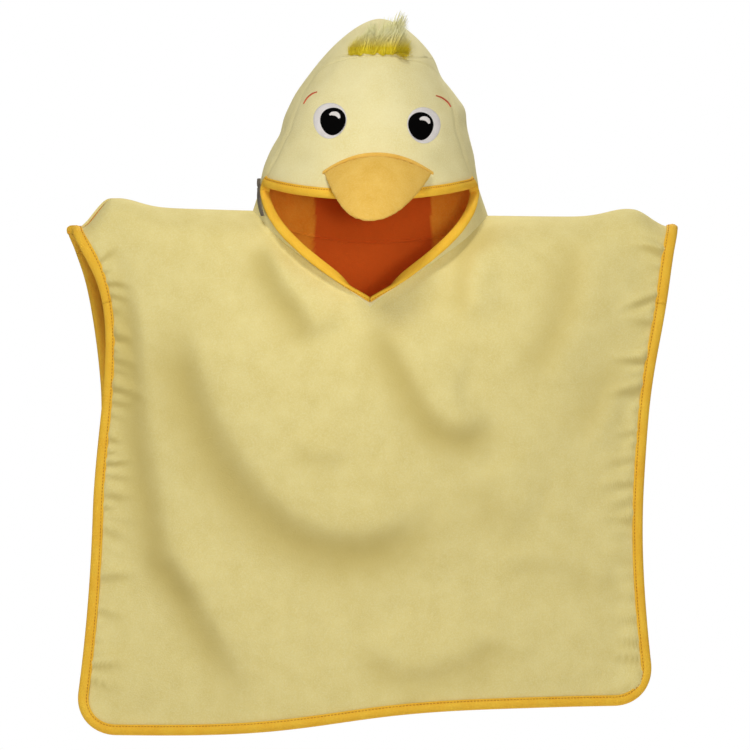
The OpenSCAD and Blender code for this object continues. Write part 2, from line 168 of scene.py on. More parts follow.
# height, width of the gentle side, width of the steep side, and the way the fold runs
frontFolds = [
    (8.0, 46, 13, [(-257, -24), (-240, -100), (-222, -190), (-204, -270), (-192, -330), (-163, -384), (-130, -440),
                   (-94, -498)]),
    (12.0, 62, 19, [(-182, -86), (-167, -150), (-136, -218), (-102, -268), (-62, -301), (-16, -312), (30, -298),
                    (52, -262)]),
    (8.5, 40, 13, [(16, -98), (28, -124), (50, -164), (70, -199), (92, -208), (116, -190)]),
    (4.5, 34, 12, [(-2, -415), (18, -437), (44, -448), (86, -438), (122, -410)]),
    (2.6, 12, 6, [(112, -414), (132, -426), (166, -444)]),
    (2.4, 14, 7, [(122, -352), (152, -345), (190, -346), (226, -362), (262, -364)]),
    (3.4, 20, 9, [(-224, -334), (-188, -352), (-160, -386)]),
    (9.0, 30, 12, [(-100, -24), (-86, -62), (-60, -98), (-44, -128)]),
    (6.5, 24, 8, [(142, -12), (131, -26), (108, -42), (102, -60), (100, -80), (96, -112)]),
    (3.0, 16, 8, [(-70, -222), (-52, -236), (-24, -238)]),
    (5.5, 30, 14, [(222, -18), (214, -60), (204, -104), (190, -142), (168, -186)]),
    (4.0, 26, 12, [(256, -150), (244, -184), (214, -240)]),
    (3.0, 34, 18, [(118, -250), (140, -280), (168, -292)]),
]
backFolds = [
    (9.0, 44, 16, [(-214, -50), (-190, -190), (-150, -330), (-122, -478)]),
    (9.0, 16, 44, [(206, -60), (182, -200), (160, -350), (150, -480)]),
    (9.0, 52, 18, [(-84, -56), (-46, -150), (0, -184), (46, -150), (80, -58)]),
    (6.0, 54, 20, [(-130, -120), (-80, -270), (0, -320), (78, -270), (124, -120)]),
]
fields = {-1: foldFields(frontFolds, 0.95), 1: foldFields(backFolds, 0.3)}


def crest(x):
    a, c = np.abs(x), shoulder
    level = c["slopeLeft"] * np.maximum(x, 0) + c["slopeRight"] * np.minimum(x, 0)
    drop = (c["drop"] - c["lessOnLeft"] * np.sign(x)) * smooth((a - c["dropAt"]) / c["dropWidth"])
    return c["rise"] * np.exp(-((a - c["riseAt"]) / c["riseWidth"]) ** 2) - drop - level


def fall(q):
    r = towel["armRadius"]
    return r * (1 - np.cos(np.clip(q / r, 0, math.pi / 2))) + np.maximum(0, q - r * math.pi / 2)


def qAt(w):
    r = towel["armRadius"]
    w = np.asarray(w, float)
    return np.where(w < r, r * np.arccos(np.clip(1 - w / r, -1, 1)), r * math.pi / 2 + w - r)


def edge(w):
    return towel["halfWidth"] + np.where(w < 250, towel["flare"] * np.maximum(0, (250 - w) / 235) ** 2.4,
                                         11 * ((w - 250) / 200) ** 2)


def hem(x):
    return towel["drop"] - towel["hemLean"] * np.tanh((x + 40) / 110)


def neckSeam(az):
    # azimuth in degrees, 0 straight ahead and 180 straight behind
    a = np.abs(az)
    t = np.abs(np.where(a < 90, a, 180 - a)) / 90
    q = np.where(a < 90, qAt(towel["neckDepth"]) * (1 - t ** 0.85), qAt(towel["nape"]) * (1 - t * t))
    return towel["neckWidth"] * np.sin(np.radians(az)), q, np.where(a < 90, -1, 1)


def puckers(x, w, side):
    # short creases that the stitching pulls into the cloth beside its two edges
    rng = np.random.RandomState(41 if side < 0 else 43)
    inward = edge(w) - np.abs(x)
    total = np.zeros(np.shape(x))
    for hand in (-1, 1):
        at = pucker["first"]
        while at < pucker["last"]:
            length, height, slant, width = [rng.uniform(*pucker[k]) for k in ("length", "height", "slant", "width")]
            if pucker["quiet"][0] < at < pucker["quiet"][1]:
                height *= 0.5
            gap = (w - at - slant * inward) / width
            reach = smooth((inward - 5) / 7) * (1 - smooth((inward - 0.35 * length) / length))
            total += np.where(np.sign(x) == hand, pucker["strength"] * height * np.exp(-gap ** 2) * reach, 0)
            at += rng.uniform(*pucker["spacing"])
    along = noise(x, 0 * x, 26, 7) * smooth((hem(x) - w - 6) / 8) * (1 - smooth((hem(x) - w - 12) / 34))
    return total + 0.9 * along


def towelPoints(x, q, side, worked=True):
    x, q = np.broadcast_arrays(np.asarray(x, float), np.asarray(q, float))
    r, w = towel["armRadius"], fall(q)
    t = np.clip(q / r, 0, math.pi / 2)
    across = np.maximum(0, np.cos(np.radians(90 * x / 315))) ** 1.2
    body, over, wider = (towel["chest"], 35, 0.12) if side < 0 else (towel["spine"], 22, 0.1)
    bulge = body * across * (1 - np.exp(-w / over)) * (1 + wider * w / 500)
    k = sideSwing
    sway = np.where((side > 0) & (x < 0), k["topBehindRight"], k["top"]) * np.exp(-((w - k["topAt"]) / k["topWidth"]) ** 2)
    # the lower edge waves a little, and the binding waves with it
    lift = towel["rippleHeight"] * noise(x, 0 * x + side * 40, 62, 5) * smooth((w - 380) / 120)
    if worked:
        inward = edge(w) - np.abs(x)
        seamX, seamQ, _ = neckSeam(np.linspace(-90, 90, 61) if side < 0 else np.linspace(90, 270, 61))
        beside = nearPath(x, q, np.stack([seamX, seamQ], -1))[0]
        clear = smooth((beside - 2) / 20)
        low = smooth((hem(x) - w - 6) / 26)
        h = 1.25 * readField(fields[side][0], x, w) * smooth((inward - 8) / 34) * low
        h = h + puckers(x, w, side)
        h = h + 1.6 * noise(x, w, 48, 11 + side) * smooth((inward - 8) / 20) * low
        h = h + towel["pileWaves"] * noise(x, w, 15, 13 + side) * smooth((inward - 6) / 10)
        lift = lift + h * clear * smooth((w - 1) / 22)
        # a soft trough along the neck seam, deeper in front
        trough = smooth(beside / 4) * np.exp(-((beside - 4) / 4.5) ** 2)
        lift = lift - (2.4 if side < 0 else 1.2) * trough * smooth((w - 1) / 14)
    share = 1 - smooth(w / 110)
    sway = sway + np.where(x < 0, k["right"] * smooth((w - k["rightFrom"]) / k["rightOver"]),
                           k["left"] * np.exp(-((w - k["leftAt"]) / k["leftWidth"]) ** 2))
    return np.stack([x + sway * (x / 270) ** 2, side * (r * np.sin(t) + bulge + lift),
                     crest(x) * share - w], -1)


def outerEdge():
    # the edge of a panel from its lowest middle out to the shoulder, for each hand, as x and q
    halves = {}
    for hand in (-1, 1):
        r, h = towel["cornerRadius"], hem(hand * towel["halfWidth"])
        m = np.linspace(0, 1, 40)
        foot = hem(m * hand * towel["halfWidth"])
        xs, ws = [m * (edge(foot) - r)], [foot]
        a = np.radians(np.linspace(4, 90, 18))
        ws.append(h - r + r * np.cos(a))
        xs.append(edge(ws[-1]) - r * (1 - np.sin(a)))
        ws.append(np.linspace(h - r - 4, 0, 90))
        xs.append(edge(ws[-1]))
        w = np.concatenate(ws)
        halves[hand] = np.stack([hand * np.concatenate(xs), np.maximum(qAt(w), 0.6)], -1)
    return halves


def edgeAt(f):
    # a point of the edge for each f, from -1 at one shoulder to 1 at the other
    halves = outerEdge()
    return np.where((f < 0)[:, None], alongPath(halves[-1], np.abs(f)), alongPath(halves[1], np.abs(f)))


def towelGrid(side, columns, rows, allowance):
    # rays from the neck seam out to the edge, so that one sheet reaches the whole way round
    f = np.linspace(-1, 1, columns)
    outer = edgeAt(f)
    az = 90 * f if side < 0 else 180 - 90 * f
    sx, sq, _ = neckSeam(np.where(az > 180, az - 360, az))
    seam = np.stack([sx, sq + 0.6], -1)
    d = unit(outer - seam)
    t = (np.linspace(0, 1, rows) ** 1.05)[:, None, None]
    # the first few millimetres are the seam allowance, tucked under the foot of the hood
    flat = mix((seam - allowance * d)[None], outer[None], t)
    x, w = flat[..., 0], fall(flat[..., 1])
    # painted shade on the lower faces of the puckers, added to the painted shade at the feet of the folds
    under = puckers(x, w - 2.5, side) - puckers(x, w + 2.5, side)
    shade = np.clip(readField(fields[side][1], x, w) + np.clip(0.3 * under, 0, 0.7), 0, 1)
    return towelPoints(flat[..., 0], flat[..., 1], side), shade


# ---- the hood's outer face, millimetres, by azimuth in degrees and height
hood = {
    "width": 110, "front": 118, "back": 92, "top": 197, "cornerZ": 26, "lipZ": 8, "veeZ": 86,
    "spring": 23, "mouth": 77, "faceTop": 156, "tuftAngle": 38, "lipWidth": 8.6, "veeWidth": 5.4, "lipLift": 3.2,
    "seamDip": 0.9, "waves": 1.5,
}
# soft dents and swellings: depth, height and half width of height, azimuth and its half width
bothCheeks = [(-2.6, 50, 12, 46, 13), (1.8, 30, 8, 50, 16)]
temples = [(5.0, 105, 13, 86, 26), (-4.0, 141, 13, 84, 26), (-4.2, 82, 15, -88, 26)]


def hoodHalf(z):
    low, top = hood["spring"], hood["top"]
    return np.where(z < low, hood["width"] + (low - z) * 0.25,
                    hood["width"] * np.maximum(0, 1 - np.maximum(0, (z - low) / (top - low)) ** 1.55) ** 0.6)


def hoodAhead(z):
    top = hood["top"]
    return np.where(z < 7, hood["front"] - (7 - z) * 0.32,
                    hood["front"] * np.maximum(0, 1 - np.maximum(0, (z - 7) / (top - 7)) ** 2.4) ** 0.62)


def hoodBehind(z):
    top = hood["top"]
    return np.where(z < 28, hood["back"] - 30 * (np.maximum(0, 28 - z) / 50) ** 1.3,
                    hood["back"] * np.maximum(0, 1 - np.maximum(0, (z - 28) / (top - 28)) ** 2.6) ** 0.6)


def lean(z):
    return 10 * smooth((z - 40) / 150)


def faceSeam(v):
    # azimuth of the seam beside the face, from the corner of the mouth up to the tuft
    angles = [hood["mouth"], 70, 64, 60, 63, 67, 66, 54, hood["tuftAngle"]]
    return np.interp(v, [0, .1, .25, .45, .65, .8, .9, .965, 1], angles)


def sideStart(z):
    low, top = hood["cornerZ"], hood["faceTop"]
    return np.where(z < low, hood["mouth"], np.where(z < top - 4, faceSeam((z - low) / (top - 4 - low)),
                    np.where(z < top, hood["tuftAngle"] * np.sqrt(np.maximum(0, top - z) / 4), 0)))


def hoodSmoothPoints(az, z):
    az, z = np.broadcast_arrays(np.asarray(az, float), np.asarray(z, float))
    a = np.radians(az)
    return np.stack([hoodHalf(z) * np.sin(a) + lean(z),
                     -np.where(np.cos(a) > 0, hoodAhead(z), hoodBehind(z)) * np.cos(a), z], -1)


def hoodPoints(az, z):
    # the same face with its seams drawn in and the soft dents of cloth over a head
    p = hoodSmoothPoints(az, z)
    az, z = np.broadcast_arrays(np.asarray(az, float), np.asarray(z, float))
    a, around = np.abs(az), np.radians(az)
    reach = hoodHalf(z)
    beside = (a - sideStart(z)) * math.pi / 180 * np.maximum(reach, 1)
    seam = np.exp(-(beside / 4.2) ** 2) * (z > hood["cornerZ"]) * smooth((hood["top"] - z) / 30)
    behind = np.exp(-((180 - a) * math.pi / 180 * reach / 4) ** 2)
    dent = -hood["seamDip"] * (seam + behind * (z > -20))
    dent = dent + hood["waves"] * noise(around * 92, z, 42, 21) * smooth((hood["top"] - z) / 40)
    dent = dent + 0.5 * noise(around * 92, z, 16, 22) * smooth((hood["top"] - z) / 40)
    for turn, marks in ((a, bothCheeks), (az, temples)):
        for depth, height, tall, middle, wide in marks:
            dent = dent + depth * np.exp(-((z - height) / tall) ** 2) * np.exp(-((turn - middle) / wide) ** 2)
    dent = dent * smooth((z + 4) / 26)
    out = np.stack([np.sin(around), -np.cos(around), 0.35 * np.ones_like(z)], -1)
    return p + unit(out) * dent[..., None]


def lipHeight(az):
    return hood["lipZ"] + (hood["cornerZ"] - hood["lipZ"]) * (np.abs(az) / hood["mouth"]) ** 1.5


def veeHeight(az):
    return -hood["veeZ"] + (hood["cornerZ"] + hood["veeZ"]) * np.abs(az) / hood["mouth"]


def facePoints(u, v):
    u, v = np.broadcast_arrays(np.asarray(u, float), np.asarray(v, float))
    return hoodPoints(u * faceSeam(v), mix(lipHeight(hood["mouth"] * u), hood["faceTop"] - 4 * u * u, v))


def faceAt(x, z):
    # a point of the face by x and height
    x, z = np.broadcast_arrays(np.asarray(x, float), np.asarray(z, float))
    return hoodPoints(np.degrees(np.arcsin(np.clip((x - lean(z)) / hoodHalf(z), -0.98, 0.98))), z)


def neckPoints(az):
    x, q, side = neckSeam(az)
    return np.where((side < 0)[..., None], towelPoints(x, q, -1, False), towelPoints(x, q, 1, False))


def wallPoints(az, z, t):
    az, z, t = np.broadcast_arrays(np.asarray(az, float), np.asarray(z, float), np.asarray(t, float))
    return mix(neckPoints(az), hoodPoints(az, z), t[..., None])


# ---- meshes
def placed(name, data):
    thing = bpy.data.objects.new(name, data)
    bpy.context.scene.collection.objects.link(thing)
    return thing


def asWorked(piece):
    # the mesh that a piece's modifiers make
    return bpy.data.meshes.new_from_object(piece.evaluated_get(bpy.context.evaluated_depsgraph_get()))


def gridNormals(p, toward):
    n = unit(np.cross(np.gradient(p, axis=1), np.gradient(p, axis=0)))
    flat = np.linalg.norm(n, axis=-1) < 0.5
    n[flat] = (0, 0, 1)
    return n if (n * toward).sum() > 0 else -n


def signedVolume(verts, faces):
    total = 0
    for k in range(1, faces.shape[1] - 1):
        a, b, c = verts[faces[:, 0]], verts[faces[:, k]], verts[faces[:, k + 1]]
        total += (a * np.cross(b, c)).sum() / 6
    return total


def closedPiece(name, verts, faces, uv=None, caps=()):
    # verts in millimetres and faces of four corners; they are turned to point outwards
    verts, faces = np.asarray(verts, float) / 1000, np.asarray(faces)
    turn = signedVolume(verts, faces) < 0
    faces = [list(f[::-1] if turn else f) for f in faces]
    faces += [list(c[::-1] if turn else c) for c in caps]
    mesh = bpy.data.meshes.new(name)
    mesh.from_pydata([tuple(v) for v in verts], [], faces)
    if uv is not None:
        layer = mesh.uv_layers.new(name="along")
        loops = np.empty(len(mesh.loops), int)
        mesh.loops.foreach_get("vertex_index", loops)
        layer.data.foreach_set("uv", np.asarray(uv, float)[loops].ravel())
    mesh.validate()
    mesh.shade_smooth()
    return placed(name, mesh)


# painted shade on the lining deep in the hood and at the nape: its right and left limits, and its starts
deepShadePart = {"right": -59, "left": 65, "sideOver": 2, "behind": -4, "behindOver": 8, "low": -200, "lowOver": 60}


def deepShadeShare(p):
    x, y, z = p[..., 0], p[..., 1], p[..., 2]
    d = deepShadePart
    inside = smooth((x - d["right"]) / d["sideOver"]) * smooth((d["left"] - x) / d["sideOver"])
    return inside * smooth((y - d["behind"]) / d["behindOver"]) * smooth((z - d["low"]) / d["lowOver"])


def twoSkins(name, outer, inner):
    # two grids of points joined round their rim
    rows, cols = outer.shape[:2]
    count = rows * cols
    index = np.arange(count).reshape(rows, cols)
    quads = np.stack([index[:-1, :-1], index[:-1, 1:], index[1:, 1:], index[1:, :-1]], -1).reshape(-1, 4)
    rim = np.concatenate([index[0, :], index[1:, -1], index[-1, -2::-1], index[-2:0:-1, 0]])
    after = np.roll(rim, -1)
    sides = np.stack([after, rim, rim + count, after + count], -1)
    return closedPiece(name, np.concatenate([outer.reshape(-1, 3), inner.reshape(-1, 3)]),
                       np.concatenate([quads, quads[:, ::-1] + count, sides]))


def slab(name, p, n, top, base, word="deep", values=None):
    # a sheet whose outer face is p, between two depths behind it
    piece = twoSkins(name, p - n * top, p - n * base)
    piece.data.set_sharp_from_angle(angle=math.radians(60))
    # each vertex carries its share of the painted shade deep in the hood, unless other values are given
    values = deepShadeShare(p) if values is None else values
    both = np.concatenate([values.ravel(), values.ravel()]).astype(np.float32)
    piece.data.attributes.new(word, "FLOAT", "POINT").data.foreach_set("value", both)
    return piece


def tube(name, rings):
    # rings of equal numbers of points, joined along and closed at both ends
    rings = np.asarray(rings, float)
    count, around = rings.shape[:2]
    index = np.arange(count * around).reshape(count, around)
    nextRound = np.roll(index, -1, axis=1)
    quads = np.stack([index[:-1], nextRound[:-1], nextRound[1:], index[1:]], -1).reshape(-1, 4)
    run = np.concatenate([[0], np.cumsum(np.linalg.norm(np.diff(rings[:, 0], axis=0), axis=1))]) / 1000
    uv = np.stack(np.broadcast_arrays(run[:, None], np.linspace(0, 0.03, around)[None]), -1).reshape(-1, 2)
    return closedPiece(name, rings.reshape(-1, 3), quads, uv, (index[0][::-1], index[-1]))


tapeShape = {"width": 9.2, "crown": 1.5, "stitchAt": 0.8, "pinch": 0.7, "ripple": 0.35}


def foldedTape(name, edges, normals, inners, innerNormals, width):
    # tape folded round an edge: crowned between the edge and its row of stitches, drawn in along them
    crown, under = tapeShape["crown"], towel["liningBase"]
    profile = [(1, 0.7), (1, 1.7), (0.9, 1.9), (tapeShape["stitchAt"], 1.9 - tapeShape["pinch"] * 0.5),
               (0.68, 2.0 + 0.5 * crown), (0.45, 1.9 + crown * 0.9), (0.2, 1.8 + crown * 0.8), (0, 2.0), (-0.14, 0.9),
               (-0.18, -1.2),
               (-0.16, -3.6), (-0.1, -5.2), (0, -under - 1.7), (0.3, -under - 2.1), (0.6, -under - 2.0),
               (0.8, -under - 1.6), (1, -under - 1.9), (1, -under - 0.7), (0.5, -under - 0.7), (0, -under - 0.7),
               (-0.06, -under), (-0.06, 0), (0, 0.7), (0.5, 0.7)]
    inward = unit(inners - edges)
    length = np.linalg.norm(inners - edges, axis=-1, keepdims=True)
    run, far = edges[:, 0] + 0.6 * edges[:, 1], edges[:, 2] + 0.6 * edges[:, 1]
    wave = (noise(run, far, 7, 31) * 0.6 + noise(run, far, 19, 32)) * tapeShape["ripple"]
    rings = []
    for a, b in profile:
        along = edges + inward * (a * length) if a >= 0 else edges + inward * a * width
        lift = mix(normals, innerNormals, np.clip(a, 0, 1))
        proud = wave if 0 < a < 1 and b > 1.2 else 0 * wave
        rings.append(along + unit(lift) * (b + proud)[:, None])
    return tube(name, np.stack(rings, 1))


def outwardAt(points, e=0.6):
    # outward direction of a surface function of two values, given as points(da, db)
    return unit(np.cross(points(e, 0) - points(-e, 0), points(0, e) - points(0, -e)))


# ---- geometry nodes: stitches along a path, and hairs on a strip
def socket(tree, name, kind, value):
    made = tree.interface.new_socket(name, in_out="INPUT", socket_type=kind)
    if value is not None:
        made.default_value = value


def addNode(tree, kind, settings=None, links=None):
    # settings are the node's own properties and its inputs' values, links are input to socket
    node = tree.nodes.new(kind)
    for key, value in (settings or {}).items():
        if isinstance(key, str) and hasattr(node, key):
            setattr(node, key, value)
        else:
            node.inputs[key].default_value = value
    for key, source in (links or {}).items():
        tree.links.new(source, node.inputs[key])
    return node


def startTree(name):
    tree = bpy.data.node_groups.new(name, "GeometryNodeTree")
    tree.interface.new_socket("Geometry", in_out="INPUT", socket_type="NodeSocketGeometry")
    tree.interface.new_socket("Geometry", in_out="OUTPUT", socket_type="NodeSocketGeometry")
    return tree


def endTree(tree, put, cloth):
    # turns what was put down into plain geometry of one material
    real = addNode(tree, "GeometryNodeRealizeInstances", None, {0: put.outputs[0]})
    paint = addNode(tree, "GeometryNodeSetMaterial", None, {"Geometry": real.outputs[0], "Material": cloth})
    addNode(tree, "NodeGroupOutput", None, {0: paint.outputs[0]})
    return tree


def stitchTree():
    tree = startTree("rowOfStitches")
    socket(tree, "Spacing", "NodeSocketFloat", 0.0034)
    socket(tree, "Stitch length", "NodeSocketFloat", 0.0025)
    socket(tree, "Thread radius", "NodeSocketFloat", 0.00045)
    socket(tree, "Thread", "NodeSocketMaterial", None)
    entry = addNode(tree, "NodeGroupInput")
    curve = addNode(tree, "GeometryNodeMeshToCurve", None, {0: entry.outputs["Geometry"]})
    even = addNode(tree, "GeometryNodeResampleCurve", {"mode": "LENGTH"},
                   {"Curve": curve.outputs[0], "Length": entry.outputs["Spacing"]})
    ball = addNode(tree, "GeometryNodeMeshUVSphere", {"Segments": 6, "Rings": 4, "Radius": 1.0})
    half = addNode(tree, "ShaderNodeMath", {"operation": "MULTIPLY", 1: 0.5}, {0: entry.outputs["Stitch length"]})
    size = addNode(tree, "ShaderNodeCombineXYZ", None, {0: entry.outputs["Thread radius"],
                   1: entry.outputs["Thread radius"], 2: half.outputs[0]})
    tangent = addNode(tree, "GeometryNodeInputTangent")
    turn = addNode(tree, "FunctionNodeAlignRotationToVector", {"axis": "Z"}, {"Vector": tangent.outputs[0]})
    put = addNode(tree, "GeometryNodeInstanceOnPoints", None, {"Points": even.outputs[0], "Instance": ball.outputs["Mesh"],
                  "Rotation": turn.outputs[0], "Scale": size.outputs[0]})
    return endTree(tree, put, entry.outputs["Thread"])


def hairTree():
    tree = startTree("tuftOfHairs")
    socket(tree, "Hairs per square metre", "NodeSocketFloat", 1000000.0)
    socket(tree, "Hair", "NodeSocketObject", None)
    socket(tree, "Spread", "NodeSocketFloat", 0.3)
    socket(tree, "Seed", "NodeSocketInt", 6)
    socket(tree, "Fibre", "NodeSocketMaterial", None)
    entry = addNode(tree, "NodeGroupInput")
    spots = addNode(tree, "GeometryNodeDistributePointsOnFaces", {"distribute_method": "RANDOM"},
                    {"Mesh": entry.outputs["Geometry"], "Density": entry.outputs["Hairs per square metre"],
                     "Seed": entry.outputs["Seed"]})
    comb = addNode(tree, "GeometryNodeInputNamedAttribute", {"data_type": "FLOAT_VECTOR", "Name": "comb"})
    stray = addNode(tree, "FunctionNodeRandomValue", {"data_type": "FLOAT_VECTOR", 0: (-1, -1, -1), 1: (1, 1, 1)},
                    {"Seed": entry.outputs["Seed"]})
    scatter = addNode(tree, "ShaderNodeVectorMath", {"operation": "SCALE"},
                      {0: stray.outputs[0], "Scale": entry.outputs["Spread"]})
    lay = addNode(tree, "ShaderNodeVectorMath", {"operation": "ADD"}, {0: comb.outputs[0], 1: scatter.outputs[0]})
    length = addNode(tree, "ShaderNodeVectorMath", {"operation": "LENGTH"}, {0: comb.outputs[0]})
    turn = addNode(tree, "FunctionNodeAlignRotationToVector", {"axis": "Z"}, {"Vector": lay.outputs[0]})
    vary = addNode(tree, "FunctionNodeRandomValue", {"data_type": "FLOAT", 2: 0.62, 3: 1.08},
                   {"Seed": entry.outputs["Seed"]})
    grow = addNode(tree, "ShaderNodeMath", {"operation": "MULTIPLY"}, {0: vary.outputs[1], 1: length.outputs["Value"]})
    info = addNode(tree, "GeometryNodeObjectInfo", None, {"Object": entry.outputs["Hair"]})
    put = addNode(tree, "GeometryNodeInstanceOnPoints", None,
                  {"Points": spots.outputs["Points"], "Rotation": turn.outputs[0], "Scale": grow.outputs[0],
                   "Instance": info.outputs["Geometry"]})
    return endTree(tree, put, entry.outputs["Fibre"])


def grown(name, base, tree, values):
    # runs a tree on a base mesh and keeps the result as a plain mesh
    modifier = base.modifiers.new("grow", "NODES")
    modifier.node_group = tree
    for item in tree.interface.items_tree:
        if item.in_out == "INPUT" and item.name in values:
            modifier[item.identifier] = values[item.name]
    bpy.context.view_layer.update()
    made = asWorked(base)
    base.modifiers.remove(modifier)
    made.name = name
    made.shade_smooth()
    piece = placed(name, made)
    bpy.data.objects.remove(base)
    return piece


def pathObject(points):
    mesh = bpy.data.meshes.new("path")
    mesh.from_pydata([tuple(p) for p in np.asarray(points) / 1000], [(i, i + 1) for i in range(len(points) - 1)], [])
    return placed("path", mesh)


# ---- materials
def colour(code):
    # an sRGB hex value as linear light
    parts = [int(code[i:i + 2], 16) / 255 for i in (1, 3, 5)]
    return tuple(c / 12.92 if c <= 0.04045 else ((c + 0.055) / 1.055) ** 2.4 for c in parts) + (1,)


def overlaid(tree, under, code, share):
    # one colour over another by the share that a socket gives
    return addNode(tree, "ShaderNodeMix", {"data_type": "RGBA", 7: colour(code)}, {"Factor": share, 6: under}).outputs[2]


def fabric(name, base, shade, tip, patch, pile, bump, rough=0.92, sheen=0.35, weave=None, weaveSize=1.0,
           weaveBump=0.3, alongTape=False, creaseShade=None, back=None, shine=0.25):
    # patch, pile and weaveSize are millimetres; base is the usual colour, shade the hollows, tip the lit fibres
    material = bpy.data.materials.new(name)
    material.use_nodes = True
    tree = material.node_tree
    tree.nodes.clear()
    place = addNode(tree, "ShaderNodeTexCoord").outputs["UV" if alongTape else "Object"]
    big = addNode(tree, "ShaderNodeTexNoise", {"Scale": 1000 / patch, "Detail": 4.0, "Roughness": 0.55}, {"Vector": place})
    fine = addNode(tree, "ShaderNodeTexNoise", {"Scale": 1000 / pile, "Detail": 3.0, "Roughness": 0.6}, {"Vector": place})
    tone = addNode(tree, "ShaderNodeValToRGB", None, {"Fac": big.outputs["Fac"]})
    tone.color_ramp.elements[0].position, tone.color_ramp.elements[1].position = 0.3, 0.72
    tone.color_ramp.elements[0].color, tone.color_ramp.elements[1].color = colour(shade), colour(base)
    fleck = addNode(tree, "ShaderNodeMapRange", {"From Min": 0.42, "From Max": 0.78, "To Max": 0.55},
                    {"Value": fine.outputs["Fac"]})
    mixed = overlaid(tree, tone.outputs["Color"], tip, fleck.outputs[0])
    # painted shade: a crease, or the back of the lining deep in the hood, takes the darker colour that its vertices ask
    # for
    for word, code, most in (("shade", creaseShade, 0.8), ("deep", back, 1.0)):
        if code:
            asked = addNode(tree, "ShaderNodeAttribute", {"attribute_name": word})
            share = addNode(tree, "ShaderNodeMath", {"operation": "MULTIPLY", 1: most}, {0: asked.outputs["Fac"]})
            mixed = overlaid(tree, mixed, code, share.outputs[0])
    height = fine.outputs["Fac"]
    if weave:
        ribs = addNode(tree, "ShaderNodeTexWave", {"wave_type": "BANDS", "bands_direction": weave, "Distortion": 0.6,
                       "Scale": 1000 / weaveSize * 0.314, "Detail": 1.0}, {"Vector": place})
        height = addNode(tree, "ShaderNodeMath", {"operation": "MULTIPLY_ADD", 1: weaveBump},
                         {0: ribs.outputs["Fac"], 2: fine.outputs["Fac"]}).outputs[0]
    lumps = addNode(tree, "ShaderNodeBump", {"Strength": 0.8, "Distance": bump / 1000}, {"Height": height})
    worn = addNode(tree, "ShaderNodeMapRange", {"To Min": rough - 0.06, "To Max": rough + 0.05},
                   {"Value": fine.outputs["Fac"]})
    surface = addNode(tree, "ShaderNodeBsdfPrincipled",
                      {"Sheen Weight": sheen, "Sheen Roughness": 0.45, "Sheen Tint": colour(tip), "IOR": 1.46,
                       "Specular IOR Level": shine},
                      {"Base Color": mixed, "Normal": lumps.outputs[0], "Roughness": worn.outputs[0]})
    addNode(tree, "ShaderNodeOutputMaterial", None, {"Surface": surface.outputs[0]})
    return material


materials = {
    # cotton velour, its loops sheared to a short pile: soft, matt, with faint brushed patches and a pale bloom, and
    # painted shade in its creases
    "velour": fabric("cottonVelour", "#efde94", "#e6d386", "#f5e9ae", patch=24, pile=1.5, bump=0.55, sheen=0.22,
                     creaseShade="#cbb566"),
    # the same velour on the hood, a little paler where it is stretched over the head
    "hoodVelour": fabric("cottonVelourHood", "#f3e6ac", "#eadb9a", "#f8f0c2", patch=30, pile=1.5, bump=0.5, sheen=0.22),
    # terry of the lining, loops left uncut: strong orange with a visible grain, and a rust-coloured painted shade at
    # the back of the hood
    "terry": fabric("cottonTerry", "#ffa52e", "#f59420", "#ffb84c", patch=18, pile=1.9, bump=0.8, sheen=0.1,
                    back="#e2641a"),
    # folded cotton twill tape: fine ribs across its length catch the light
    "tape": fabric("cottonTwillTape", "#ffcb3c", "#f8b92c", "#ffd95c", patch=22, pile=0.8, bump=0.3, rough=0.8,
                   sheen=0.1, weave="X", weaveSize=1.5, weaveBump=0.9, alongTape=True),
    # brushed velour of the beak
    "beak": fabric("beakVelour", "#f0c35c", "#e6b448", "#f4cf78", patch=16, pile=1.6, bump=0.6, sheen=0.22),
    "beakBand": fabric("beakBand", "#f1c25a", "#e7b248", "#f5cd6c", patch=16, pile=1.0, bump=0.3, rough=0.85, sheen=0.1),
    # satin embroidery, rows of shiny thread laid side by side
    "whiteSatin": fabric("whiteSatinStitch", "#f1eae4", "#e2dad4", "#f8f4f0", patch=12, pile=0.9, bump=0.3, rough=0.55,
                         sheen=0.05, weave="X", weaveSize=1.1, weaveBump=1.1),
    "blackSatin": fabric("blackSatinStitch", "#040303", "#020202", "#080706", patch=12, pile=0.9, bump=0.2, rough=0.8,
                         sheen=0.0, weave="X", weaveSize=1.1, weaveBump=0.8, shine=0.04),
    "redThread": fabric("redEmbroidery", "#d8603c", "#c94f2c", "#e07a52", patch=8, pile=0.8, bump=0.2, rough=0.5,
                        sheen=0.05, weave="X", weaveSize=1.0, weaveBump=1.0),
    "thread": fabric("polyesterThread", "#d48f22", "#c9851c", "#dd9c34", patch=8, pile=0.6, bump=0.1, rough=0.5,
                     sheen=0.05),
    # woven polyester ribbon of the label, left blank
    "ribbon": fabric("wovenRibbon", "#7d7468", "#4c463f", "#9d9486", patch=7, pile=0.8, bump=0.2, rough=0.6, sheen=0.05,
                     weave="Z", weaveSize=1.0, weaveBump=0.8),
}


def tuftFibre():
    # acrylic pile of the tuft: strong yellow at the root, thinning to pale ends
    material = fabric("acrylicPile", "#f2dc1e", "#e2c614", "#f4e664", patch=9, pile=2.2, bump=0.1, rough=0.6, sheen=0.2)
    tree = material.node_tree
    surface = tree.nodes["Principled BSDF"]
    old = surface.inputs["Base Color"].links[0].from_socket
    place = addNode(tree, "ShaderNodeTexCoord")
    apart = addNode(tree, "ShaderNodeSeparateXYZ", None, {0: place.outputs["Object"]})
    tall = addNode(tree, "ShaderNodeMapRange", {"From Min": 0.164, "From Max": 0.179}, {"Value": apart.outputs["Z"]})
    tree.links.new(overlaid(tree, old, "#fdf8c6", tall.outputs[0]), surface.inputs["Base Color"])
    return material


materials["fibre"] = tuftFibre()
stitches, hairs = stitchTree(), hairTree()
print("materials made")


def handName(hand):
    return "Left" if hand > 0 else "Right"


def sideName(side):
    return "Front" if side < 0 else "Back"


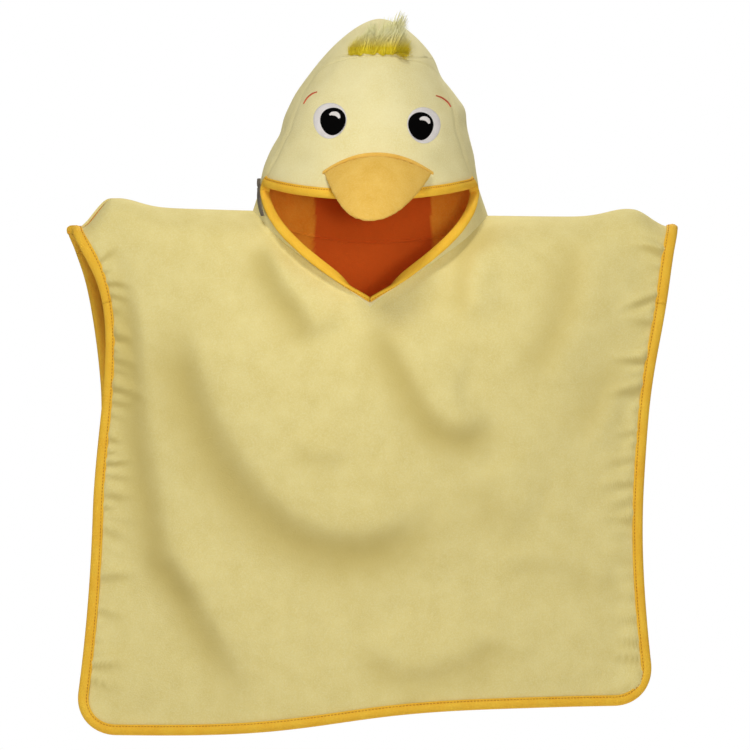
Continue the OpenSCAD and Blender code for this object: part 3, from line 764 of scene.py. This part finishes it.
def finishPiece(piece, material, nodes, zone=None, body=None):
    if not piece.data.materials:
        piece.data.materials.append(materials[material])
    if nodes:
        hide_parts(*nodes)
    if zone:
        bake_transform(piece)
    else:
        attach(piece, body)
    return piece


def stitchRow(name, points, material, slotName, zone=None, body=None, spacing=3.4, length=2.5, radius=0.45):
    piece = grown(name, pathObject(points), stitches, {"Spacing": spacing / 1000, "Stitch length": length / 1000,
                  "Thread radius": radius / 1000, "Thread": materials[material]})
    return finishPiece(piece, material, (), zone, body)


def boundEdge(kind, word, node, frames, width, zone, body=None, proud=1, **stitch):
    # folded tape and the row of stitches that holds it, standing along one of its two rows of normals
    tape = finishPiece(foldedTape(kind + "Binding" + word, *frames, width), "tape", (node,), zone, body)
    row = mix(frames[0], frames[2], tapeShape["stitchAt"]) + frames[proud] * 2.0
    stitchRow(kind + "Stitches" + word, row, "thread", "binding_tape", zone, body, **stitch)
    return tape


# ---- towel
def makePanel(side):
    word = sideName(side)
    low = word.lower()
    toward = np.array([0, side, 0])
    p, shade = towelGrid(side, 541, 84, 3.0 if side < 0 else 0.6)
    shell = finishPiece(slab("towel" + word, p, gridNormals(p, toward), 0, towel["shell"], "shade", shade), "velour",
                        (f"yoke_{low}_shell", f"{low}_shell"), low)
    p, shade = towelGrid(side, 241, 60, 3.0)
    lining = finishPiece(slab(f"towel{word}Lining", p, gridNormals(p, toward), towel["liningTop"], towel["liningBase"]),
                         "terry", (f"yoke_{low}_lining", f"{low}_lining"), low)
    return shell, lining


def edgeFrames(side, line, inward, width):
    # points and outward directions along the edge, then along the inner side of its tape
    frames = []
    for path in (line, line + inward * width):
        out = lambda ex, eq: towelPoints(path[:, 0] + ex, np.maximum(path[:, 1] + eq, 0.05), side, False)
        frames += [out(0, 0), outwardAt(out)]
    sign = 1 if (frames[1][:, 1] * side).sum() > 0 else -1
    return frames[0], frames[1] * sign, frames[2], frames[3] * sign


def edgeLine():
    # the whole edge from one shoulder round the hem to the other, with the way in across the tape
    line = edgeAt(np.linspace(-1, 1, 560))
    t = unit(np.gradient(line, axis=0))
    inward = np.stack([-t[:, 1], t[:, 0]], -1)
    middle = np.array([0.0, 250.0])
    inward = inward * np.sign(((middle - line) * inward).sum(-1, keepdims=True))
    return line, inward


def makeEdgeBinding(side):
    word = sideName(side)
    line, inward = edgeLine()
    # above this depth the shoulder's own tape goes on
    keep = fall(line[:, 1]) > (90 if side < 0 else 25)
    frames = edgeFrames(side, line[keep], inward[keep], tapeShape["width"])
    return boundEdge("edge", word, word.lower() + "_binding", frames, tapeShape["width"], word.lower())


def makeShoulderBinding(hand):
    name = handName(hand)
    parts = []
    line, inward = edgeLine()
    w = fall(line[:, 1])
    for side, reach in ((-1, 93), (1, 28)):
        pick = np.where((line[:, 0] * hand > 0) & (w < reach))[0]
        pick = pick[np.argsort(-w[pick])]
        parts.append(edgeFrames(side, line[pick], inward[pick], tapeShape["width"]))
    front, back = parts[0], [a[::-1] for a in parts[1]]
    frames = [np.concatenate([a, b]) for a, b in zip(front, back)]
    # the two rows turn over the shoulder together
    for k in (1, 3):
        v = frames[k]
        for _ in range(6):
            v[1:-1] = unit(v[:-2] + 2 * v[1:-1] + v[2:])
    boundEdge("shoulder", name, f"shoulder_binding_{name.lower()}", frames, tapeShape["width"], None, "yoke")


frontShell, frontLining = makePanel(-1)
backShell, backLining = makePanel(1)
frontTape, backTape = makeEdgeBinding(-1), makeEdgeBinding(1)
makeShoulderBinding(1)
makeShoulderBinding(-1)
print("towel made")


# ---- hood
def sheetPair(name, node, liningNode, p, n, inner=None):
    # shell and lining of one cut piece of the hood
    shell = finishPiece(slab(name, p, n, 0, towel["shell"]), "hoodVelour", (node,), "hood")
    inner = p if inner is None else inner
    lining = finishPiece(slab(name + "Lining", inner, n, towel["liningTop"], towel["liningBase"]), "terry",
                         (liningNode,), "hood")
    return shell, lining


def makeFace():
    u, v = np.meshgrid(np.linspace(-1, 1, 181), np.linspace(hood["lipLift"] / (hood["faceTop"] - hood["lipZ"]), 1, 101))
    p = facePoints(u, v)
    return sheetPair("hoodFace", "hood_face", "hood_face_lining", p, gridNormals(p, np.array([0, -1, 0])))


def makeSide(hand):
    low, top = hood["cornerZ"], hood["faceTop"]
    wall = [(t, low) for t in np.linspace(-0.01, 1, 22)]
    rise = [(1, z) for z in np.linspace(low, top - 4, 46)[1:]]
    turn = [(1, z) for z in np.linspace(top - 4, top, 9)[1:]]
    crown = [(1, hood["top"] - (hood["top"] - top) * (1 - s) ** 1.9) for s in np.linspace(0, 1, 30)[1:]]
    rows = np.array(wall + rise + turn + crown)
    t, z = rows[:, :1], rows[:, 1:]
    # each half reaches a little past the seam it shares, so that no light comes through
    past = np.degrees(np.arcsin(np.minimum(0.9, 0.2 / np.maximum(hoodHalf(z), 0.01)))) * smooth((hood["top"] - z) / 6)
    u = np.linspace(0, 1, 81)[None]
    az = hand * mix(sideStart(z) - past, 180 + past, u)
    p = wallPoints(az, z, t)
    centre = np.stack([lean(z + 0 * u), 0 * az, z + 0 * u - 20], -1)
    n = gridNormals(p, unit(p - centre))
    n = unit(mix(np.array([0, 0, 1.0]), n, smooth((hood["top"] - z) / 5)[..., None]))
    # the lining hangs a little further than the shell, over the seam at the nape
    inner = wallPoints(az, z, np.where(np.arange(len(t))[:, None] == 0, -0.16, t))
    name = handName(hand)
    return sheetPair("hoodSide" + name, "hood_side_" + name.lower(), "hood_side_lining_" + name.lower(), p, n, inner)


def makeThroat(hand):
    az = hand * np.linspace(-0.2, hood["mouth"] + 0.3, 70)[None]
    p = wallPoints(az, veeHeight(az), np.linspace(0, 1, 26)[:, None])
    n = gridNormals(p, np.array([hand * 0.3, -1, 0.3]))
    name = handName(hand)
    return sheetPair("throat" + name, "throat_" + name.lower(), "throat_lining_" + name.lower(), p, n)


def lipFrames(u):
    first = hood["lipLift"] / (hood["faceTop"] - hood["lipZ"])
    v = first + hood["lipWidth"] / (hood["faceTop"] - hood["lipZ"])
    point = lambda du, dv, at: facePoints(np.clip(u + du, -1, 1), at + dv)
    normals = []
    for at in (first, v):
        n = outwardAt(lambda a, b: point(a * 0.01, b * 0.01, at + 0.006))
        normals.append(n * (1 if n[:, 1].sum() < 0 else -1))
    return [point(0, 0, first), normals[0], point(0, 0, v), normals[1]]


def makeLipBinding():
    frames = lipFrames(np.linspace(0.955, -0.955, 150))
    return boundEdge("lip", "", "lip_binding", frames, hood["lipWidth"], "hood", proud=3, spacing=3.0, length=2.2)


def makeVeeBinding(hand):
    name = handName(hand)
    az = hand * np.linspace(0.3, hood["mouth"] - 2.5, 80)
    top = veeHeight(az)
    reach = np.linalg.norm(wallPoints(az, top, 1 + 0 * az) - wallPoints(az, top, 0 * az), axis=-1)
    inner = np.maximum(1 - hood["veeWidth"] / reach, 0.08)
    normals = []
    for t in (np.full_like(az, 0.98), inner):
        n = outwardAt(lambda a, b: wallPoints(az + a * hand, veeHeight(az + a * hand), t + b * 0.02))
        normals.append(n * (1 if (n * [hand * 0.3, -1, 0.3]).sum() > 0 else -1))
    frames = [wallPoints(az, top, 1 + 0 * az), normals[0], wallPoints(az, top, inner), normals[1]]
    # at the corner of the mouth the tape swings round until it lies over the end of the tape of the lip
    lip = [f[0] for f in lipFrames(np.array([hand * 0.955, hand * 0.94]))]
    last = [f[-1] for f in frames]
    s = np.linspace(0, 1, 13)[1:, None]
    start, end = last[2] - last[0], lip[2] - lip[0]
    out = unit(hoodPoints(hand * (hood["mouth"] + 3), 26.0) - hoodPoints(hand * hood["mouth"], 26.0))
    way = unit(mix(unit(start), unit(end), s) + 1.6 * out * np.sin(math.pi * s))
    size = mix(np.linalg.norm(start), np.linalg.norm(end), s)
    e = mix(last[0], lip[0], s) + out * 0.6 * np.sin(math.pi * s)
    turn = [e, unit(mix(last[1], lip[1], s)), e + way * size, unit(mix(last[3], lip[3], s))]
    frames = [np.concatenate([a, b]) for a, b in zip(frames, turn)]
    return boundEdge("vee", name, "neck_binding_" + name.lower(), frames, hood["veeWidth"], "hood", proud=3,
                     spacing=3.0, length=2.2)


def makeNeckTape():
    az, t = np.meshgrid(np.linspace(100, 260, 91), np.linspace(-0.13, 0.36, 10))
    az = np.where(az > 180, az - 360, az)
    p = wallPoints(az, hood["cornerZ"], t)
    n = gridNormals(p, unit(p))
    tape = slab("neckTape", p, n, towel["liningBase"] + 0.3, towel["liningBase"] + 1.0)
    finishPiece(tape, "terry", ("neck_tape",), "hood")


hoodPieces = [makeFace(), makeSide(1), makeSide(-1), makeThroat(1), makeThroat(-1)]
hoodTapes = [makeLipBinding(), makeVeeBinding(1), makeVeeBinding(-1)]
makeNeckTape()
print("hood made")


# ---- face, with the measures of the beak; swell is as far as the beak's filling may push its cloth
beak = {
    "half": 53, "length": 82, "droop": 48, "thick": 14, "rootZ": 54, "rootDeep": 13, "arch": 17, "tipLean": 8.0,
    "seam": 1.5, "swell": 4.5, "pressure": 4, "steps": 20,
}
face = {
    "x": 7, "tilt": 4, "eyeApart": 46, "eyeZ": 89, "white": (16.5, 18.2, 0.06), "pupil": (12.4, 14, 0.12),
    "glint": [(-4.4, -0.2), (-2.0, 1.0), (1.4, 0.9), (3.8, -1.0), (5.0, -3.8)],
    "glintWidth": [0.8, 1.9, 2.3, 2.0, 0.9], "browApart": 66, "browZ": 113.2,
    "brow": [(-7, 5.0), (-1.5, 3.2), (3.6, -0.8), (7, -6.2)], "browWidth": [0.4, 0.65, 0.65, 0.4],
}
# the label, as azimuth and height at its two ends, then its reach outward and forward and how far it stands off
label = {"top": (80.5, 35), "foot": (63, -3), "reach": (2.8, 9), "off": (1.4, 1.6), "bow": 0.8, "thick": 1.2}
# hair sizes in millimetres; the last lock, between two azimuths, hangs down
tuft = {
    "ragged": 2.4, "lock": (13, 33), "hair": 27, "root": 0.42, "tip": 0.06, "sag": (3.4, -1.2),
    "hairs": 2300000.0, "spread": 0.15,
}


def faceFrame(x, z):
    p = faceAt(x, z)
    e = 0.8
    n = unit(np.cross(faceAt(x + e, z) - faceAt(x - e, z), faceAt(x, z + e) - faceAt(x, z - e)))
    return p, n * np.where(n[..., 1:2] < 0, 1, -1)


def domePatch(name, x, z, proud, top, shape):
    # a padded disc: rings round its middle, level on top and rounded over at its rim
    rings, around = 12, 60
    a = np.linspace(0, 2 * math.pi, around, endpoint=False)
    r = np.linspace(0, 1, rings + 1)[1:]
    rr, aa = np.meshgrid(r, a, indexing="ij")
    dx, dz = shape(rr * np.cos(aa), rr * np.sin(aa))
    p, n = faceFrame(x + dx, z + dz)
    height = proud + (top - proud) * np.sqrt(np.clip(1 - rr ** 6, 0, 1))[..., None]
    above, below = p + n * height, p + n * proud
    mid, midN = faceFrame(np.array([x], float), np.array([z], float))
    verts = np.concatenate([above.reshape(-1, 3), below.reshape(-1, 3), mid + midN * top, mid + midN * proud])
    count = rings * around
    index = np.arange(count).reshape(rings, around)
    nxt = np.roll(index, -1, 1)
    quads = np.stack([index[:-1], index[1:], nxt[1:], nxt[:-1]], -1).reshape(-1, 4)
    rim = np.stack([index[-1], index[-1] + count, nxt[-1] + count, nxt[-1]], -1)
    quads = np.concatenate([quads, quads[:, ::-1] + count, rim])
    topCentre, baseCentre = 2 * count, 2 * count + 1
    fans = [(index[0, k], nxt[0, k], topCentre) for k in range(around)]
    fans += [(nxt[0, k] + count, index[0, k] + count, baseCentre) for k in range(around)]
    return closedPiece(name, verts, quads, None, fans)


def ribbonPatch(name, x, z, path, widths, proud, top):
    # a tapered satin-stitched stroke laid along a path on the face
    middle = smoothPath(path, 26)
    half = np.interp(np.linspace(0, 1, 26), np.linspace(0, 1, len(widths)), widths)
    t = unit(np.gradient(middle, axis=0))
    across = np.stack([-t[:, 1], t[:, 0]], -1)
    s = np.linspace(-1, 1, 9)
    flat = middle[:, None] + across[:, None] * (s[None, :, None] * half[:, None, None])
    p, n = faceFrame(x + flat[..., 0], z + flat[..., 1])
    height = proud + (top - proud) * np.sqrt(np.clip(1 - s ** 4, 0, 1))[None, :, None]
    return slab(name, p + n * height, n, 0, 0.35)


def makeEye(hand):
    name = handName(hand)
    z = face["eyeZ"] - face["tilt"] / 2 * hand
    for part, key, x, drop, proud, top, slotName, material in (
            ("eyePatch", "white", face["x"] + hand * (face["eyeApart"] + 0.5), 1.0, 0.2, 1.3, "eye_white", "whiteSatin"),
            ("pupil", "pupil", face["x"] + hand * (face["eyeApart"] - 3), 2.3, 1.35, 2.3, "eye_black", "blackSatin")):
        rx, rz, low = face[key]
        shape = lambda dx, dz: (rx * dx * (1 + low * dz), rz * dz)
        node = ("eye_patch_" if part == "eyePatch" else "pupil_") + name.lower()
        finishPiece(domePatch(part + name, x, z - drop, proud, top, shape), material, (node,), None, "hood")
    x = face["x"] + hand * (face["eyeApart"] - 3) + 2.2 + 0.7 * hand
    glint = ribbonPatch("glint" + name, x, z + 4.0, face["glint"], face["glintWidth"], 2.35, 2.9)
    finishPiece(glint, "whiteSatin", ("glint_" + name.lower(),), None, "hood")
    brow = ribbonPatch("brow" + name, face["x"] + hand * face["browApart"], face["browZ"] - 1.5 * hand,
                       [(x * hand, z) for x, z in face["brow"]], face["browWidth"], 0.2, 0.8)
    finishPiece(brow, "redThread", ("brow_" + name.lower(),), None, "hood")


def makeBeakBand():
    a, t = np.meshgrid(np.linspace(-1, 1, 91), np.linspace(0, 1, 9))
    x = face["x"] + 1 + (beak["half"] + 1) * a
    p, n = faceFrame(x, beak["rootZ"] - 0.8 - beak["arch"] * a * a + (4.8 - 1.6 * a * a) * t)
    p = p + n * (0.25 + 0.9 * np.sqrt(np.clip(1 - (2 * t - 1) ** 4, 0, 1)))[..., None]
    finishPiece(slab("beakBand", p, n, 0, 0.5), "beakBand", ("beak_piping",), None, "hood")


def makeTuft():
    half = hood["tuftAngle"]
    a, t = np.meshgrid(np.linspace(-half, half, 91), np.linspace(0, 1, 9))
    z = hood["faceTop"] + 1 + 5 * t
    p = hoodPoints(a, z)
    n = gridNormals(p, np.array([0, -1, 0]))
    # the foot of the pile is uneven
    ragged = hoodPoints(a, hood["faceTop"] + 0.5 + (1 - t) * tuft["ragged"] * noise(a, 0 * a, 3.2, 57) + 5 * t)
    finishPiece(slab("tuftTape", p + n * 0.7, n, 0, 0.6), "hoodVelour", ("tuft_tape",), None, "hood")
    up = unit(hoodPoints(a, z + 2) - hoodPoints(a, z - 2))
    # the hairs stand up from the seam in clumps and lean a little to one side
    clump = noise(a, 0 * a, 5.5, 55)[..., None]
    lock = (smooth((a - tuft["lock"][0]) / 4) * smooth((tuft["lock"][1] - a) / 5) * smooth((0.45 - t) / 0.2))[..., None]
    comb = up + n * (0.5 + 0.22 * clump) + np.array([1.0, 0, 0]) * (0.08 + 0.42 * clump)
    comb = mix(comb, -0.9 * up + 0.8 * n + np.array([0.1, 0, 0]), lock)
    tall = (0.62 + 0.75 * np.abs(noise(a, 0 * a, 4.2, 56)) + 0.18 * smooth((a + 20) / 30))[..., None]
    comb = unit(comb) * mix(tall, 0.42, lock) * (0.25 + 0.75 * smooth((34 - np.abs(a[..., None])) / 12))
    p, n, comb = ragged[:, 8:-7], n[:, 8:-7], comb[:, 8:-7]
    base = slab("tuftBase", p + n * 1.0, n, 0, 0.4)
    mesh = base.data
    both = np.concatenate([comb.reshape(-1, 3), comb.reshape(-1, 3)])
    mesh.attributes.new("comb", "FLOAT_VECTOR", "POINT").data.foreach_set("vector", both.ravel())
    rings = []
    for s in np.linspace(0, 1, 6):
        r = tuft["root"] * (1 - s) ** 0.7 + tuft["tip"]
        x, y = [bend * s * s for bend in tuft["sag"]]
        rings.append([(x + r * math.cos(k * 2.094), y + r * math.sin(k * 2.094), tuft["hair"] * s) for k in range(3)])
    hair = tube("hairShape", rings)
    piece = grown("tuftPile", base, hairs, {"Hairs per square metre": tuft["hairs"], "Hair": hair, "Seed": 6,
                                            "Spread": tuft["spread"], "Fibre": materials["fibre"]})
    bpy.data.objects.remove(hair)
    finishPiece(piece, "fibre", ("tuft_pile",), None, "hood")


def makeLabel():
    u, v = np.meshgrid(np.linspace(0, 1, 7), np.linspace(0, 1, 23))
    top, foot, reach, off = label["top"], label["foot"], label["reach"], label["off"]
    p = hoodPoints(-mix(top[0], foot[0], v ** 1.25), mix(top[1], foot[1], v))
    outward = -reach[0] * u - off[0] - label["bow"] * np.sin(math.pi * v)
    p = p + np.stack([outward, reach[1] * u - off[1], 0 * u], -1)
    n = gridNormals(p, np.array([-1, -1, 0]))
    finishPiece(slab("sideLabel", p, n, -label["thick"], 0), "ribbon", ("side_label",), "hood")


makeEye(1)
makeEye(-1)
makeBeakBand()
makeTuft()
makeLabel()
print("face made")


# ---- beak
def beakRoot(u, z):
    return faceAt(face["x"] + 1 + beak["half"] * u, z - beak["arch"] * u * u) - np.array([0, 2.6, 0])


def beakSurface(u, v, up, thick):
    droop = math.radians(beak["droop"])
    ahead, above = np.array([0, -math.cos(droop), -math.sin(droop)]), np.array([0, -math.sin(droop), math.cos(droop)])
    deep = 0 if up > 0 else beak["rootDeep"]
    top = beakRoot(u, beak["rootZ"] + 0 * u)
    root = beakRoot(u, beak["rootZ"] - deep * np.maximum(0, 1 - np.abs(u) ** 3))
    u, v = u[..., None], v[..., None]
    reach = np.maximum(0, 1 - np.abs(u) ** 2.3)
    rim = top + ahead * beak["length"] * reach - above * 4 * (1 - u * u)
    rim = rim - np.array([beak["tipLean"], 0, 0]) * reach ** 1.3
    swell = above * up * thick / 2 * np.maximum(0, 1 - u * u) * np.sin(math.pi * np.clip(v, 0, 1) ** 0.8) * 0.9
    return mix(root, rim, v) + swell


def keepShape(piece, modifier):
    # what the modifier makes becomes the mesh itself
    piece.data = asWorked(piece)
    piece.modifiers.remove(modifier)


def makeBeak():
    u, v = np.meshgrid(np.linspace(-1.03, 1.03, 57), np.linspace(0, 1.02, 33))
    thick = beak["thick"] * 0.86
    top, base = beakSurface(u, v, 1, thick), beakSurface(u, v, -1, thick)
    # the two skins stay apart by the thickness of their seam at the rim
    away = unit(np.cross(np.gradient(top, axis=1), np.gradient(top, axis=0)))
    away = away if away[..., 2].sum() > 0 else -away
    top, base = top + away * beak["seam"], base - away * beak["seam"]
    piece = twoSkins("beakPad", top, base)
    bpy.context.view_layer.objects.active = piece
    remesh = piece.modifiers.new("remesh", "REMESH")
    remesh.mode, remesh.voxel_size = "VOXEL", 0.0018
    keepShape(piece, remesh)
    inflate(piece, beak["swell"] / 1000)
    smoothing = piece.modifiers.new("even", "SMOOTH")
    smoothing.iterations, smoothing.factor = 8, 0.5
    keepShape(piece, smoothing)
    piece.data.name = "beakPad"
    piece.data.shade_smooth()
    piece.data.materials.clear()
    finishPiece(piece, "beak", ("beak_top", "beak_under", "beak_stuffing"), "beak")


def inflate(piece, cap):
    # cloth with pressure, held along its root, then limited to how far a point may move
    scene = bpy.context.scene
    start = np.array([v.co for v in piece.data.vertices])
    pin = piece.vertex_groups.new(name="root")
    held = [int(k) for k in np.where(faceDistance(start) < 0.010)[0]]
    pin.add(held, 1.0, "REPLACE")
    cloth = piece.modifiers.new("cloth", "CLOTH")
    cloth.settings.use_pressure = True
    cloth.settings.uniform_pressure_force = beak["pressure"]
    cloth.settings.effector_weights.gravity = 0
    cloth.settings.vertex_group_mass = "root"
    cloth.settings.quality = 6
    cloth.point_cache.frame_start, cloth.point_cache.frame_end = 1, beak["steps"]
    for number in range(1, beak["steps"] + 1):
        scene.frame_set(number)
    made = asWorked(piece)
    piece.modifiers.remove(cloth)
    piece.vertex_groups.clear()
    scene.frame_set(1)
    end = np.array([v.co for v in made.vertices])
    move = end - start
    far = np.linalg.norm(move, axis=1, keepdims=True)
    end = start + move * np.minimum(1, cap / np.maximum(far, 1e-9))
    made.vertices.foreach_set("co", end.ravel())
    piece.data = made
    print("beak filled, moved at most", round(float(far.max()) * 1000, 2), "mm before its limit")


def faceDistance(points):
    # how far points, in metres, stand in front of the face
    x, z = points[:, 0] * 1000, points[:, 2] * 1000
    return (faceAt(x, z)[:, 1] - points[:, 1] * 1000) / 1000


makeBeak()
print("beak made")
# ---- floor, light and camera: each lamp has its place, its size and its power
stage = {
    "floorZ": -0.75, "floor": ((-4, -5), (4, -5), (4, 2.9), (-4, 2.9)), "world": 0.19,
    "aim": (0, 0, -0.15), "mouthAim": (0, 0, -0.01), "mouthAngle": 6.2,
    "keyLamp": ((-0.7, -2.1, 2.9), 1.0, 60), "frontLamp": ((0.5, -5.0, -0.15), 1.5, 62),
    "backLamp": ((0.4, 2.2, 1.8), 1.6, 46), "mouthLamp": ((0.3, -3.2, -0.1), 0.15, 95),
}


def hangLamp(lamp, place, aim):
    thing = placed(lamp.name, lamp)
    thing.location = place
    thing.rotation_euler = (Vector(aim) - Vector(place)).to_track_quat("-Z", "Y").to_euler()


def makeStage():
    mesh = bpy.data.meshes.new("floor")
    mesh.from_pydata([(x, y, stage["floorZ"]) for x, y in stage["floor"]], [], [(0, 1, 2, 3)])
    floor = placed("floor", mesh)
    paper = bpy.data.materials.new("whitePaper")
    paper.use_nodes = True
    surface = paper.node_tree.nodes["Principled BSDF"]
    surface.inputs["Base Color"].default_value = (0.9, 0.9, 0.9, 1)
    surface.inputs["Roughness"].default_value = 0.9
    mesh.materials.append(paper)
    for name in ("keyLamp", "frontLamp", "backLamp"):
        place, size, power = stage[name]
        lamp = bpy.data.lights.new(name, "AREA")
        lamp.shape, lamp.size, lamp.energy = "DISK", size, power
        hangLamp(lamp, place, stage["aim"])
    # a narrow soft beam into the mouth of the hood
    place, size, power = stage["mouthLamp"]
    beam = bpy.data.lights.new("mouthLamp", "SPOT")
    beam.energy, beam.spot_size, beam.spot_blend = power, math.radians(stage["mouthAngle"]), 0.9
    beam.shadow_soft_size = size
    hangLamp(beam, place, stage["mouthAim"])
    world = bpy.context.scene.world or bpy.data.worlds.new("studio")
    bpy.context.scene.world = world
    world.use_nodes = True
    # the room lights the cloth softly, and behind it stands white paper
    tree = world.node_tree
    back = tree.nodes["Background"]
    back.inputs["Color"].default_value = (1, 1, 1, 1)
    back.inputs["Strength"].default_value = stage["world"]
    paperWhite = addNode(tree, "ShaderNodeBackground", {"Color": (1, 1, 1, 1), "Strength": 1.0})
    seen = addNode(tree, "ShaderNodeLightPath")
    pick = addNode(tree, "ShaderNodeMixShader", None,
                   {0: seen.outputs["Is Camera Ray"], 1: back.outputs[0], 2: paperWhite.outputs[0]})
    tree.links.new(pick.outputs[0], tree.nodes["World Output"].inputs["Surface"])
    bpy.context.scene.view_settings.view_transform = "Standard"


def makeCamera():
    c = cameraSetup
    data = bpy.data.cameras.new("camera")
    data.sensor_width = 36
    data.lens = 36 * (c["distance"] - c["cloth"]) / c["width"]
    data.clip_end = 50
    camera = placed("camera", data)
    camera.location = (c["x"], -c["distance"], c["z"])
    camera.rotation_euler = (math.pi / 2, 0, 0)
    bpy.context.scene.camera = camera


makeStage()
makeCamera()
print("stage made")
